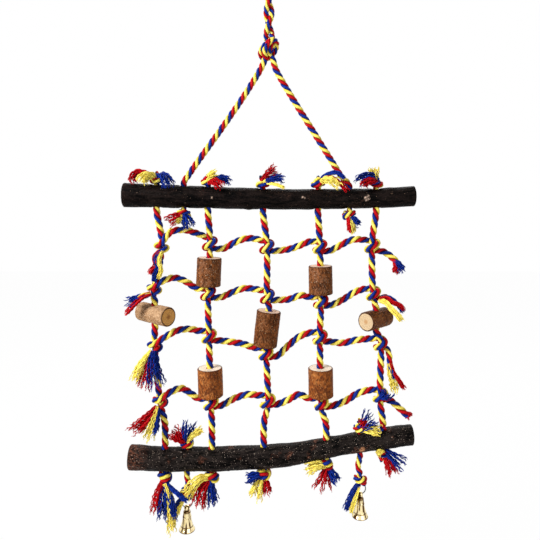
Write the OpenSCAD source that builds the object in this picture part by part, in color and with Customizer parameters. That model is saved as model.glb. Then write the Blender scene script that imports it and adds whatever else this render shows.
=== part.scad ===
// Hanging climbing swing for cage birds: two natural wood perches joined by a net of knotted
// rope, with drilled branch slices threaded on the net and two small bells underneath.
// Millimetres. X runs along the perches, Y goes away from the viewer and Z is up.
// The origin is the middle of the hook space, in the upper bow of the steel link.

/* [Rope] */
// Diameter of the net ropes and bell cords
rope_d = 7; // [6:0.1:7.4]
// Diameter of the two hanger legs
leg_d = 6.4; // [5.4:0.1:6.8]
// Thickness of each of the two ropes that are twisted together above the hanger knot
twin_d = 5.2; // [4.4:0.1:5.6]
// Thickness of a rope where it is pulled tight into a knot
turn_d = 4.4; // [3.6:0.1:4.6]
// Air between a rope and what it goes through or round
slack = 0.3; // [0.2:0.05:0.4]
// Length of rope that stays straight under a perch
stub_len = 4; // [3:0.5:6]
// Thickness of one frayed strand at its loose end
fray_d = 5; // [3:0.5:6]

/* [Net] */
// Height of the net, from the middle of the upper perch to the middle of the lower one
net_len = 259; // [250:1:275]

/* [Perches] */
// Length of the upper perch
upper_len = 290; // [270:1:320]
// Middle diameter of the upper perch
upper_d = 21; // [19:0.5:23]
// Length of the lower perch
lower_len = 282; // [270:1:310]
// Middle diameter of the lower perch
lower_d = 21.6; // [19:0.2:23]
// Bevel round the sawn ends of the perches
perch_bevel = 1; // [0.5:0.1:2]

/* [Blocks] */
// Diameter of the five upright blocks
block_d = 25; // [20:0.5:28]
// Length of the four short upright blocks
block_len = 28; // [22:1:30]
// Length of the middle block
long_block_len = 35; // [28:1:36]
// Diameter of the two crosswise blocks
side_block_d = 19.5; // [16:0.5:20]
// Length of the left crosswise block
left_block_len = 42; // [30:1:44]
// Length of the right crosswise block
right_block_len = 35; // [26:1:36]
// Bevel round the ends of the blocks
block_bevel = 0.8; // [0.4:0.1:1.5]

/* [Bells] */
// Diameter of a bell's mouth
bell_mouth_d = 16; // [14:0.5:18]
// Height of a bell from shoulder to mouth
bell_h = 19; // [17:0.5:21]
// Wall of a bell
bell_wall = 0.7; // [0.6:0.1:0.9]
// Diameter of the knob on a bell's crown
crown_d = 5.8; // [5.4:0.1:6.2]
// Diameter of a jump ring, to the middle of its wire
ring_d = 11; // [10:0.5:13]
// Wire of a jump ring
ring_wire_d = 1.1; // [0.9:0.1:1.2]
// Diameter of a clapper's ball
ball_d = 3.6; // [3:0.1:4]
// Length of a clapper from its bar to the middle of its ball
clapper_len = 8.6; // [8:0.1:9]
// Length of the left bell cord, from its bend to the middle of its knot
left_cord_len = 19; // [17:1:22]
// Length of the right bell cord, from its bend to the middle of its knot
right_cord_len = 24.5; // [20:0.5:28]

/* [Link] */
// Wire of the steel link
link_wire_d = 4; // [3.5:0.1:4.5]
// Inside width of the link
link_in_w = 12; // [11:0.5:14]
// Inside length of the link
link_in_len = 34; // [30:1:40]
// Length of the link's sleeve nut
sleeve_len = 11; // [9:0.5:13]
// Width of the sleeve nut across its corners
sleeve_w = 8; // [7:0.1:9]

/* [Hidden] */

// The routes are drawn for this height of the net, and stretch to net_len
drawn_net_len = 259;
drawn_top = -267;
function drop(z) = drawn_top + (z - drawn_top) * net_len / drawn_net_len;
function dropped(way) = [for (p = way) [p[0], p[1], drop(p[2])]];

// The five uprights, left to right: each point is [height, place along the perches].
// The first point is in the upper perch and the last is in the lower one.
drawn_uprights = [
    [[-267, -112], [-281, -112], [-315, -107], [-357, -115], [-372, -114], [-394, -114],
     [-414, -114], [-469, -109], [-492, -104], [-526, -104]],
    [[-267, -61], [-281, -61], [-312, -59], [-362, -61], [-405, -60], [-472, -58],
     [-492, -57], [-526, -57]],
    [[-267, -6], [-281, -6], [-315, -2], [-365, -2], [-378, 0], [-414, -4],
     [-422, -3], [-470, -1], [-492, -5], [-526, -5]],
    [[-267, 49], [-281, 49], [-315, 51], [-370, 52], [-406, 51], [-472, 52],
     [-492, 57], [-526, 57]],
    [[-267, 107], [-281, 107], [-314, 103], [-362, 104], [-376, 107], [-398, 107],
     [-412, 112], [-464, 111], [-492, 114], [-526, 114]]
];
uprights = [for (way = drawn_uprights) [for (p = way) [drop(p[0]), p[1]]]];
// Heights of the crossings of each rung with the five uprights, top rung first
drawn_crossings = [
    [-315, -312, -315, -315, -314],
    [-357, -362, -365, -370, -362],
    [-414, -405, -422, -406, -412],
    [-469, -472, -470, -472, -464]
];
crossings = [for (row = drawn_crossings) [for (z = row) drop(z)]];
// The line that each rung folds about
drawn_folds = [-314, -363, -411, -470];
rung_folds = [for (z = drawn_folds) drop(z)];
// Each rung between its crossings, as [x, y, height], left to right
rung_1_ways = [
    [[-98, -3, -300], [-86, 2, -298], [-75, 5, -301]],
    [[-46, 5, -317], [-35, 4, -311], [-24, 4, -307], [-15, 5, -307]],
    [[11, 5, -319], [22, 4, -317], [33, 4, -313], [41, 5, -310]],
    [[62, 5, -319], [73, 4, -313], [84, 4, -308], [94, 5, -308]],
    [[115, 5, -320], [124, 3, -326], [129, 1, -332]]
];
rung_2_ways = [
    [[-105, -4.5, -348], [-95, 2, -346], [-84, 4, -350], [-73, 5, -357]],
    [[-48, 5, -366], [-37, 4, -361], [-25, 4, -357], [-14, 5, -358]],
    [[8, 5, -369], [20, 4, -368], [32, 4, -364], [41, 5, -366]],
    [[63, 5, -374], [75, 4, -368], [86, 4, -361], [95, 5, -358]],
    [[113, 5, -367], [120, 4, -366]]
];
rung_3_ways = [
    [[-103, -3, -404], [-92, 2, -399], [-80, 4, -398], [-71, 5, -400]],
    [[-49, 5, -410], [-38, 4, -411], [-26, 4, -413], [-15, 5, -417]],
    [[9, 5, -425], [18, 4, -416], [30, 4, -406], [41, 5, -402]],
    [[62, 5, -411], [74, 4, -412], [88, 4, -409], [101, 5, -408]],
    []
];
rung_4_ways = [
    [[-98, -3, -459], [-88, 2, -457], [-80, 4, -462], [-71, 5, -468.2]],
    [[-47, 5, -475], [-35, 4, -468], [-22, 4, -464], [-11, 5, -465]],
    [[9, 5, -474], [20, 4, -469], [30, 4, -464], [40, 5, -468]],
    [[63, 5, -476], [76, 4, -471], [89, 4, -463], [100, 5, -460]],
    [[122, 4, -470], [131, 2, -477], [139, 0, -484]]
];
drawn_rungs = [rung_1_ways, rung_2_ways, rung_3_ways, rung_4_ways];
rung_ways = [for (row = drawn_rungs) [for (way = row) dropped(way)]];
// The two hanger legs, from the hanger knot down to the upper perch. They start close under
// the knot, and clear it as they sway.
left_leg_way = [
    [-5.3, 0, -128], [-10, 0, -140], [-25, 0, -164], [-47, 0, -196], [-70, 0, -228], [-81, 0, -244]
];
right_leg_way = [
    [4.7, 0, -126.6], [8, 0, -140], [22, 0, -164], [42, 0, -196], [62, 0, -228], [72, 0, -244]
];
leg_holes = [-85, 80];
// Places of the bell cords along the lower perch
bell_holes = [-82, 91];
// Height of the hanger knot
hanger_knot_z = -116;
// Loose strands of the upper perch's five knots: [knot, end of each strand from its knot]
top_frays = [
    [[24, -2, 2], [14, -5, 3], [-8, -5, 5]],
    [[22, -3, 3], [10, 2, 7], [15, -6, -2]],
    [[23, 0, 15], [24, -4, 5], [20, 3, 8]],
    [[17, -8, 7], [27, -9, 4], [30, -10, -2]],
    [[-17, -2, 4], [-4, 0, 13], [-13, -5, -1]]
];
// The same for the knots under the lower perch
bottom_frays = [
    [[-9, -3, -36], [0, 1, -33], [3, -3, -18]],
    [[-9, -2, -24], [-4, -4, -28], [3, 0, -29]],
    [[-14, 0, -3], [-7, -2, -22], [3, -2, -16]],
    [[-20, 0, -3], [-10, -3, -22], [4, -1, -20]],
    [[8, -2, -24], [16, 0, -23], [22, -2, -10]]
];
// The same for the two knots under the upper perch that hold the hanger legs
leg_frays = [
    [[-11, -4, -9.5], [-3, -5, -7.5], [8, -5, -10]],
    [[-1, -2, -20], [8, -3, -17], [13, -1, -11]]
];
// The same for the bell cords' knots on the lower perch
cord_top_frays = [
    [[-13, 0, 14], [-3, 1, 24], [11, -1, 20]],
    [[3, 0, 17], [17, -1, 12], [15, -3, 4]]
];
// The same for the knots that hold the jump rings
ring_knot_frays = [
    [[-15, 0, -23], [-11, -1, -33]],
    [[-16, 0, -22], [-9, 1, -27]]
];
// Loose strands of the second rung's two ends, as whole routes
rung_2_strand_ways = [
    [[-115, -6, -360], [-123, -7, -360], [-134, -6, -361], [-141, -5, -367], [-144, -4, -382]],
    [[-115, -6, -360], [-122, -6, -361], [-133, -7, -358], [-141, -7, -363]],
    [[119, 4, -366], [125, 2, -364], [131, 0, -368], [136, -1, -376]],
    [[119, 4, -366], [124, 1, -368], [130, -3, -374], [132, -4, -386]]
];
// Rung ends that hang beside the next row, as whole routes
rung_1_tail_ways = [
    [[-110, -5.6, -326], [-114, -6.5, -334], [-118, -7, -346]],
    [[-110, -5.6, -326], [-108, -6.5, -334], [-107, -7, -344]]
];
rung_3_tail_ways = [
    [[-113, -5.7, -425.5], [-123, -7, -437], [-132, -8, -448]],
    [[-113, -5.7, -425.5], [-116, -8, -439], [-118, -9, -454]],
    [[-113, -5.7, -425.5], [-110, -8, -438], [-109, -9, -450]],
    [[117.4, -1, -424.5], [123, -2, -437], [132, -3, -456]],
    [[117.4, -1, -424.5], [120, -5, -440], [124, -6, -460]]
];
rung_4_tail_ways = [
    [[-109, -4.9, -481.5], [-118, -7, -487], [-128, -8, -492], [-137, -8, -498]],
    [[-109, -4.9, -481.5], [-114, -7, -490], [-120, -8, -503]]
];

// Half sizes
rope_r = rope_d / 2;
leg_r = leg_d / 2;
twin_r = twin_d / 2;
turn_r = turn_d / 2;
ring_r = ring_d / 2;
ring_wire_r = ring_wire_d / 2;
link_wire_r = link_wire_d / 2;

// Sides of a rope's tube, of a knotted rope's tube, of a frayed strand and of a perch
rope_sides = 8;
turn_sides = 6;
fray_sides = 6;
perch_sides = 20;
perch_rings = 24;
// Sides of a clapper's wire and of its ball
wire_sides = 24;
ball_sides = 32;
// Rings in one turn of a rung round an upright
turn_steps = 16;
// Rings in the twisted part of the hanger rope and over its eye
twin_steps = 12;
eye_steps = 8;
// How far a cutting tool runs past the piece that it cuts
overrun = 3;
// Air left round a fold, so that the ropes above and below it never meet
fold_gap = 0.5;
// The same under a crossing, where the rung leaves its turn
crossing_gap = 0.9;

// A rung's turn round an upright: its radius and half of its climb
hitch_r = rope_r + slack + turn_r;
hitch_rise = turn_d;
// Half of the climb of the last turn on the left upright
end_rise_share = 0.62;
end_rise = turn_d * end_rise_share;
// Radius of a turn in a stopper knot, which squeezes the rope inside it
squeeze_share = 0.7;
knot_turn_r = rope_r * squeeze_share + turn_r;
knot_r = knot_turn_r + turn_r;
// A stopper knot is two turns, one on the other
knot_half_h = turn_d;

// Bend and thickness of the perches: [place as a share of the length, lift as a share of the
// diameter, thickness as a share of the diameter]
upper_shape_shares = [
    [-0.5, 0.2, 1.15], [-0.4, 0.15, 1.12], [-0.19, 0.07, 1.04], [0.07, -0.02, 0.98],
    [0.28, 0.02, 0.97], [0.39, 0.035, 0.93], [0.46, 0.09, 0.96], [0.5, 0.16, 0.98]
];
lower_shape_shares = [
    [-0.5, 0.04, 1.1], [-0.37, -0.046, 1.05], [-0.2, -0.046, 1.05], [-0.04, 0.05, 1.01],
    [0.07, 0.157, 1], [0.12, 0.29, 0.9], [0.28, 0.678, 0.875], [0.4, 0.912, 0.925],
    [0.48, 1.05, 0.9], [0.5, 1.09, 0.9]
];
// Height of each perch's middle line, where the uprights go through it
upper_z = uprights[0][0][0];
lower_z = uprights[0][len(uprights[0]) - 1][0];
// How far the lower perch's middle lies to the right
lower_x = 2;

function third_column(table, share, column) =
    lookup(share, [for (row = table) [row[0], row[column]]]);
function perch_share(x, middle, long) = (x - middle) / long;
function upper_lift(x) = third_column(upper_shape_shares, perch_share(x, 0, upper_len), 1) * upper_d;
function upper_r(x) = third_column(upper_shape_shares, perch_share(x, 0, upper_len), 2) * upper_d / 2;
function lower_lift(x) =
    third_column(lower_shape_shares, perch_share(x, lower_x, lower_len), 1) * lower_d;
function lower_r(x) =
    third_column(lower_shape_shares, perch_share(x, lower_x, lower_len), 2) * lower_d / 2;
function upper_top(x) = upper_z + upper_lift(x) + upper_r(x);
function upper_under(x) = upper_z + upper_lift(x) - upper_r(x);
function lower_top(x) = lower_z + lower_lift(x) + lower_r(x);
function lower_under(x) = lower_z + lower_lift(x) - lower_r(x);
// Heights at which a knot rests on a perch, or hangs under it, clear of its slope
function on_upper(x) = max(upper_top(x - knot_turn_r), upper_top(x), upper_top(x + knot_turn_r)) + slack;
function under_upper(x) =
    min(upper_under(x - knot_turn_r), upper_under(x), upper_under(x + knot_turn_r)) - slack;
function on_lower(x) = max(lower_top(x - knot_turn_r), lower_top(x), lower_top(x + knot_turn_r)) + slack;
function under_lower(x) =
    min(lower_under(x - knot_turn_r), lower_under(x), lower_under(x + knot_turn_r)) - slack;

last_column = len(uprights) - 1;
columns = [0 : last_column];
function hole_x(c) = uprights[c][0][1];
function low_hole_x(c) = uprights[c][len(uprights[c]) - 1][1];
// Place of an upright at a height
function upright_x(c, z) = lookup(z, uprights[c]);
function on_upright(c, z) = [upright_x(c, z), 0, z];
// Place of a crossing, with the rungs counted from 1
function crossing(c, row) = on_upright(c, crossings[row - 1][c]);

// The fold under the upper perch, the four rungs' folds and the fold over the lower perch
dome_gap = rope_r + fold_gap;
upper_fold = min([for (c = columns) upper_under(hole_x(c))]) - stub_len;
lower_fold = max([for (c = columns) lower_top(low_hole_x(c))]) + dome_gap + slack;
folds = concat([upper_fold], rung_folds, [lower_fold]);

// Depth under a fold that is clear of a crossing's turn however the net is folded
function clear_depth(c, row) =
    row == 0 ? dome_gap
    : norm([hitch_r, folds[row] - crossing(c, row)[2] + hitch_rise]) + turn_r + crossing_gap;
// Depth at which a rope of radius r has to end to stay inside that
function end_depth(c, row, r) = sqrt(pow(clear_depth(c, row) - crossing_gap, 2) - r * r);

function unit(v) = v / norm(v);
function along(p, i) = unit(p[min(i + 1, len(p) - 1)] - p[max(i - 1, 0)]);
// A direction across a route's start, and the same carried along it without a twist
level_share = 0.9;
function across(t) = unit(cross(t, abs(t[1]) < level_share ? [0, 1, 0] : [1, 0, 0]));
function carried(p, i = 0, n = undef) =
    i == len(p) ? []
    : let (t = along(p, i), m = is_undef(n) ? across(t) : unit(n - (n * t) * t))
      concat([m], carried(p, i + 1, m));
function ring_points(middle, t, n, r, sides) =
    [for (k = [0 : sides - 1])
        let (a = 360 * k / sides) middle + r * (cos(a) * n + sin(a) * cross(t, n))];

// A closed tube through the points p, with a radius for each point
module tube(p, radii, sides) {
    n = carried(p);
    last = len(p) - 1;
    points = [for (i = [0 : last]) each ring_points(p[i], along(p, i), n[i], radii[i], sides)];
    walls = [for (i = [0 : last - 1], k = [0 : sides - 1])
        let (a = i * sides + k, b = i * sides + (k + 1) % sides)
        each [[a, a + sides, b + sides], [a, b + sides, b]]];
    start = [for (k = [1 : sides - 2]) [0, k, k + 1]];
    end = [for (k = [1 : sides - 2]) [last * sides, last * sides + k + 1, last * sides + k]];
    polyhedron(points, concat(walls, start, end), convexity = 8);
}

// Smallest air between parts of one tube, leaving out neighbours on it
near_steps = 6;
function least_gap(p, radii) =
    min([for (i = [0 : len(p) - near_steps - 1], j = [i + near_steps : len(p) - 1])
        norm(p[i] - p[j]) - radii[i] - radii[j]]);

// A round ring of wire or rope, lying flat
module round_ring(middle_r, thick_r, faces = 48) {
    rotate_extrude($fn = faces) translate([middle_r, 0]) circle(r = thick_r, $fn = 24);
}

// One frayed strand from a point, widening to its loose end
fray_start_share = 0.62;
fray_tip_share = 0.8;
fray_bow_share = 0.12;
module fray(from, by) {
    far = norm(by);
    bow = [0, 0, far * fray_bow_share];
    shares = [0, 0.35, 0.7, 1];
    thick = [fray_start_share, 0.8, 1, fray_tip_share];
    p = [for (s = shares) from + by * s + bow * sin(180 * s)];
    tube(p, [for (t = thick) fray_d / 2 * t], fray_sides);
}

// A strand along a whole route
module strand_tail(p) {
    last = len(p) - 1;
    tube(p, [for (i = [0 : last]) fray_d / 2 * lookup(i / last, [[0, 0.7], [0.7, 1], [1, 0.8]])],
         fray_sides);
}

// Outline of a stopper knot, two turns round a rope, with its middle at height zero
module knot_outline() {
    for (side = [-1, 1])
        translate([knot_turn_r, side * turn_r]) circle(r = turn_r, $fn = 24);
    translate([0, -knot_half_h]) square([knot_turn_r, 2 * knot_half_h]);
}

// A stopper knot at height at, on a rope that runs between two heights, with a round end
// below it where that is a fold
module knotted_rope(at, low, high, r, round_low = false) {
    rotate_extrude($fn = 48) {
        translate([0, at]) knot_outline();
        translate([0, low]) square([r, high - low]);
        if (round_low) translate([0, low]) intersection() {
            circle(r = r, $fn = 32);
            translate([0, -r]) square([r, 2 * r]);
        }
    }
}

// The steel link, open on its right side under the sleeve nut
link_bow_r = (link_in_w + link_wire_d) / 2;
link_low = -(link_in_len - link_in_w);
sleeve_z = link_low / 2;
link_break_share = 0.5;
link_break = sleeve_len * link_break_share;
module quick_link() {
    color("silver") {
        rotate([90, 0, 0]) rotate_extrude(angle = 180, $fn = 64)
            translate([link_bow_r, 0]) circle(r = link_wire_r, $fn = 32);
        translate([0, 0, link_low]) rotate([-90, 0, 0]) rotate_extrude(angle = 180, $fn = 64)
            translate([link_bow_r, 0]) circle(r = link_wire_r, $fn = 32);
        translate([-link_bow_r, 0, link_low]) cylinder(r = link_wire_r, h = -link_low, $fn = 32);
        translate([link_bow_r, 0, link_low])
            cylinder(r = link_wire_r, h = (-link_low - link_break) / 2, $fn = 32);
        translate([link_bow_r, 0, sleeve_z + link_break / 2])
            cylinder(r = link_wire_r, h = (-link_low - link_break) / 2, $fn = 32);
    }
}

sleeve_air = 0.08;
module link_sleeve_nut() {
    color("gainsboro") translate([link_bow_r, 0, sleeve_z]) difference() {
        cylinder(d = sleeve_w, h = sleeve_len, $fn = 6, center = true);
        cylinder(r = link_wire_r + sleeve_air, h = sleeve_len + 2 * overrun, $fn = 32, center = true);
    }
}

// The hanger rope: up one side, over the link's lower bow and down the other side, with
// both sides twisted together under the eye
wire_z = link_low - link_bow_r;
eye_r = link_wire_r + slack + twin_r;
twin_gap = 0.6;
twin_helix_r = twin_r + twin_gap / 2;
twin_turns = 1.25;
eye_len_share = 3.2;
eye_low = wire_z - twin_d * eye_len_share;
hanger_knot_r = 11.5;
twin_low = hanger_knot_z + hanger_knot_r + slack;
function twin_point(s, side) =
    let (a = 90 * side - 360 * twin_turns * s)
    [twin_helix_r * cos(a), twin_helix_r * sin(a), eye_low + (twin_low - eye_low) * s];
hanger_way = concat(
    [for (k = [0 : twin_steps]) twin_point(1 - k / twin_steps, 1)],
    [for (k = [0 : eye_steps]) let (a = 180 * k / eye_steps) [0, eye_r * cos(a), wire_z + eye_r * sin(a)]],
    [for (k = [0 : twin_steps]) twin_point(k / twin_steps, -1)]
);
hanger_radii = [for (p = hanger_way) twin_r];
module hanger_rope() {
    color("royalblue") tube(hanger_way, hanger_radii, rope_sides);
}

// The overhand knot in the doubled rope: two fat turns, tipped opposite ways
hanger_turn_r = 4.3;
hanger_turn_middle = 5.2;
hanger_turn_lift = 4.2;
hanger_turn_tip = -28;
module hanger_knot() {
    color("crimson") translate([0, 0, hanger_knot_z]) {
        for (side = [-1, 1])
            translate([side * slack, 0, side * hanger_turn_lift]) rotate([0, hanger_turn_tip, 0])
                round_ring(hanger_turn_middle, hanger_turn_r);
        cylinder(r = hanger_turn_middle, h = 2 * hanger_knot_r - turn_d, $fn = 32, center = true);
    }
}

// A hanger leg: down to the upper perch, through it, and into a stopper knot below
leg_bend_len = 5;
leg_start_share = 0.62;
leg_start_rings = 1;
module hanger_leg(side, way) {
    x = leg_holes[side];
    knot_z = under_upper(x) - knot_half_h;
    p = concat(way, [[x, 0, upper_top(x) + leg_bend_len], [x, 0, upper_top(x)], [x, 0, under_upper(x)]]);
    color("royalblue") {
        tube(p, [for (i = [0 : len(p) - 1]) i < leg_start_rings ? leg_r * leg_start_share : leg_r],
             rope_sides);
        translate([x, 0, 0]) knotted_rope(knot_z, knot_z, under_upper(x), leg_r * squeeze_share);
        for (by = leg_frays[side]) fray([x, 0, knot_z - knot_half_h / 2], by);
    }
}

// A natural branch with sawn, bevelled ends
function bevelled_share(k) =
    let (s = (k - 1) / (perch_rings - 2)) k == 0 ? 0 : k == perch_rings ? 1 : s;
module branch(middle_x, z, long, d, shares) {
    low = middle_x - long / 2;
    inner = long - 2 * perch_bevel;
    p = [for (k = [0 : perch_rings])
        let (x = k == 0 ? low : k == perch_rings ? low + long : low + perch_bevel + inner * bevelled_share(k),
             s = perch_share(x, middle_x, long))
        [x, 0, z + d * third_column(shares, s, 1)]];
    radii = [for (k = [0 : perch_rings])
        let (s = perch_share(p[k][0], middle_x, long), r = d / 2 * third_column(shares, s, 2))
        k == 0 || k == perch_rings ? r - perch_bevel : r];
    tube(p, radii, perch_sides);
}

// A drilled hole through a perch
module perch_hole(x, z, d, r) {
    translate([x, 0, z]) cylinder(r = r + slack, h = 2 * d + 2 * overrun, $fn = 32, center = true);
}

module upper_perch() {
    color("#2b1d18") difference() {
        branch(0, upper_z, upper_len, upper_d, upper_shape_shares);
        for (c = columns) perch_hole(hole_x(c), upper_z, upper_d, rope_r);
        for (x = leg_holes) perch_hole(x, upper_z, upper_d, leg_r);
    }
}

module lower_perch() {
    color("#33231a") difference() {
        branch(lower_x, lower_z, lower_len, lower_d, lower_shape_shares);
        for (c = columns) perch_hole(low_hole_x(c), lower_z + lower_lift(low_hole_x(c)), lower_d, rope_r);
        for (x = bell_holes) perch_hole(x, lower_z + lower_lift(x), lower_d, rope_r);
    }
}

// The uprights' ends: a knot on the upper perch, and the rope down to the first fold
module upright_top_knots() {
    color("gold") for (c = columns) {
        x = hole_x(c);
        knot_z = on_upper(x) + knot_half_h;
        translate([x, 0, 0]) knotted_rope(knot_z, upper_fold, knot_z, rope_r, round_low = true);
        for (by = top_frays[c]) fray([x, 0, knot_z], by);
    }
}

// A knot under the lower perch, and the rope up to the last fold
module upright_bottom_knots() {
    color("gold") for (c = columns) {
        x = low_hole_x(c);
        knot_z = under_lower(x) - knot_half_h;
        translate([x, 0, 0]) knotted_rope(knot_z, knot_z, lower_fold - dome_gap, rope_r);
        for (by = bottom_frays[c]) fray([x, 0, knot_z - knot_half_h / 2], by);
    }
}

// One upright between two folds, with rows counted from 1
module upright_row(c, row) {
    first = folds[row - 1] - clear_depth(c, row - 1);
    last_row = row == len(folds) - 1;
    floor_z = folds[row];
    rope_end = last_row ? floor_z : floor_z - end_depth(c, row, rope_r);
    tip_end = last_row ? floor_z - rope_r * cos(30) : floor_z - end_depth(c, row, rope_r / 2);
    turns = [for (p = uprights[c]) if (p[0] < first - turn_r && p[0] > rope_end + rope_r) p[0]];
    heights = concat([first], turns, [rope_end, tip_end]);
    p = [for (z = heights) on_upright(c, z)];
    radii = [for (i = [0 : len(p) - 1]) i == len(p) - 1 ? rope_r / 2 : rope_r];
    color(c % 2 == 0 ? "red" : "royalblue") tube(p, radii, rope_sides);
}

// A rung's turn round an upright: from behind, past its right side and front, to behind
function hitch(c, row) =
    [for (k = [0 : turn_steps])
        let (s = k / turn_steps, a = 90 - 360 * s)
        on_upright(c, crossings[row - 1][c] + hitch_rise * cos(180 * s))
            + [hitch_r * cos(a), hitch_r * sin(a), 0]];
// Its last turn on the left upright: from the front, past the right side, behind, and on
function end_hitch(row) =
    [for (k = [0 : turn_steps])
        let (s = k / turn_steps, a = 360 * s - 90)
        on_upright(0, crossings[row - 1][0] + end_rise * (2 * s - 1))
            + [hitch_r * cos(a), hitch_r * sin(a), 0]];
function rung_way(row) = concat(
    end_hitch(row),
    [for (c = [1 : last_column]) each concat(rung_ways[row - 1][c - 1], hitch(c, row))],
    rung_ways[row - 1][last_column]
);
// A rung is thin in its turns and full between them
neck_far = 2 * rope_d;
function rung_r(p, row) =
    let (near = min([for (c = columns) norm(p - crossing(c, row))]))
    lookup(near, [[hitch_r + turn_r, turn_r], [neck_far, rope_r]]);
function rung_radii(way, row) = [for (p = way) rung_r(p, row)];
module rung(row) {
    way = rung_way(row);
    radii = rung_radii(way, row);
    color("gold") {
        tube(way, radii, turn_sides);
        if (row == 2) for (way = rung_2_strand_ways) strand_tail(dropped(way));
    }
}

module tails(ways) {
    color("crimson") for (way = ways) strand_tail(dropped(way));
}

// A drilled slice of a branch, standing, with its middle on the origin
module standing_block(d, long) {
    difference() {
        rotate_extrude($fn = 64) polygon([
            [0, -long / 2], [d / 2 - block_bevel, -long / 2], [d / 2, -long / 2 + block_bevel],
            [d / 2, long / 2 - block_bevel], [d / 2 - block_bevel, long / 2], [0, long / 2]
        ]);
        cylinder(r = rope_r + slack, h = long + 2 * overrun, $fn = 32, center = true);
    }
}

// The same slice lying, drilled across its length
module lying_block(long, turn) {
    difference() {
        rotate([0, 0, turn]) rotate([90, 0, 0]) rotate_extrude($fn = 64) polygon([
            [0, -long / 2], [side_block_d / 2 - block_bevel, -long / 2],
            [side_block_d / 2, -long / 2 + block_bevel], [side_block_d / 2, long / 2 - block_bevel],
            [side_block_d / 2 - block_bevel, long / 2], [0, long / 2]
        ]);
        cylinder(r = rope_r + slack, h = side_block_d + 2 * overrun, $fn = 32, center = true);
    }
}

// Puts a block on an upright, in line with the rope between two heights
function tilt(c, low, high) = atan((upright_x(c, high) - upright_x(c, low)) / (high - low));
module on_rope(c, z, reach) {
    translate(on_upright(c, z)) rotate([0, tilt(c, z - reach, z + reach), 0]) children();
}
// Height of a block that rests on the crossing below it
block_seat = hitch_rise + rope_r + slack;
function resting(c, row, long) = crossing(c, row)[2] + block_seat + long / 2;
tilt_reach = 10;
left_block_z = drop(-382);
right_block_z = drop(-387);
left_block_turn = 50;
right_block_turn = -45;

// A bell, with the middle of its shoulder on the origin: [share of half the mouth, share of height]
bell_outline_shares = [
    [0.3, 0], [0.4, -0.015], [0.45, -0.05], [0.47, -0.12], [0.5, -0.26], [0.55, -0.29],
    [0.55, -0.33], [0.52, -0.36], [0.6, -0.54], [0.73, -0.74], [0.85, -0.87], [0.97, -0.95],
    [1, -0.98], [1, -1]
];
bell_mouth_r = bell_mouth_d / 2;
crown_r = crown_d / 2;
crown_sink_share = 0.1;
crown_z = crown_r * (1 - crown_sink_share);
hook_z = crown_z + ring_wire_r;
hook_hole_r = 2.1 * ring_wire_r;
bar_r = 0.4;
bar_depth_share = 0.16;
bar_z = -bell_h * bar_depth_share;
bar_reach = bell_mouth_r * bell_outline_shares[3][0] - bell_wall / 2;
module bell() {
    color("goldenrod") {
        difference() {
            union() {
                rotate_extrude($fn = 64) polygon(concat(
                    [[0, 0]],
                    [for (p = bell_outline_shares) [p[0] * bell_mouth_r, p[1] * bell_h]],
                    [for (i = [len(bell_outline_shares) - 1 : -1 : 2])
                        let (p = bell_outline_shares[i]) [p[0] * bell_mouth_r - bell_wall, p[1] * bell_h]],
                    [[0, bell_outline_shares[2][1] * bell_h]]
                ));
                translate([0, 0, crown_z]) sphere(r = crown_r, $fn = 48);
            }
            translate([0, 0, hook_z + ring_r]) rotate([90, 0, 0]) round_ring(ring_r, hook_hole_r);
        }
        intersection() {
            translate([0, 0, bar_z]) rotate([0, 90, 0])
                cylinder(r = bar_r, h = bell_mouth_d, $fn = 24, center = true);
            cylinder(r = bar_reach, h = 2 * bell_h, $fn = 64, center = true);
        }
    }
}

// A clapper: an eye round the bell's bar, a wire and a ball
eye_wire_r = 0.4;
clapper_eye_r = bar_r + slack + eye_wire_r;
module clapper() {
    color("silver") translate([0, 0, bar_z]) {
        rotate([0, 90, 0]) round_ring(clapper_eye_r, eye_wire_r, wire_sides);
        translate([0, 0, -clapper_len])
            cylinder(r = eye_wire_r, h = clapper_len - clapper_eye_r, $fn = wire_sides);
        translate([0, 0, -clapper_len]) sphere(r = ball_d / 2, $fn = ball_sides);
    }
}

// The bell cords hang from folds under the lower perch
function cord_fold(side) = lower_under(bell_holes[side]) - stub_len;
cord_lens = [left_cord_len, right_cord_len];
ring_bite_share = 0.35;
function cord_knot_z(side) = cord_fold(side) - cord_lens[side];
function ring_z(side) = cord_knot_z(side) - knot_half_h + turn_d * ring_bite_share - ring_r;
function bell_z(side) = ring_z(side) - ring_r - hook_z;
ring_air = 0.15;
module bell_cord(side) {
    x = bell_holes[side];
    knot_z = cord_knot_z(side);
    color("royalblue") difference() {
        union() {
            translate([x, 0, 0]) knotted_rope(knot_z, knot_z, cord_fold(side) - dome_gap, rope_r);
            for (by = ring_knot_frays[side])
                fray([x - knot_turn_r, 0, knot_z - knot_half_h / 2], by);
        }
        translate([x, 0, ring_z(side)]) rotate([90, 0, 0]) round_ring(ring_r, ring_wire_r + ring_air);
    }
}

module bell_cord_top_knots() {
    color("gold") for (side = [0, 1]) {
        x = bell_holes[side];
        knot_z = on_lower(x) + knot_half_h;
        translate([x, 0, 0]) knotted_rope(knot_z, cord_fold(side), knot_z, rope_r, round_low = true);
        for (by = cord_top_frays[side]) fray([x, 0, knot_z], by);
    }
}

module jump_ring(side) {
    color("silver") translate([bell_holes[side], 0, ring_z(side)]) rotate([90, 0, 0])
        round_ring(ring_r, ring_wire_r);
}

module bell_at(side) {
    translate([bell_holes[side], 0, bell_z(side)]) bell();
}

module clapper_at(side) {
    translate([bell_holes[side], 0, bell_z(side)]) clapper();
}

for (row = [1 : 4])
    echo(str("least gap of rung ", row, " to itself: ",
        least_gap(rung_way(row), rung_radii(rung_way(row), row))));
echo(str("least gap of the hanger rope to itself: ", least_gap(hanger_way, hanger_radii)));

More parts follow.
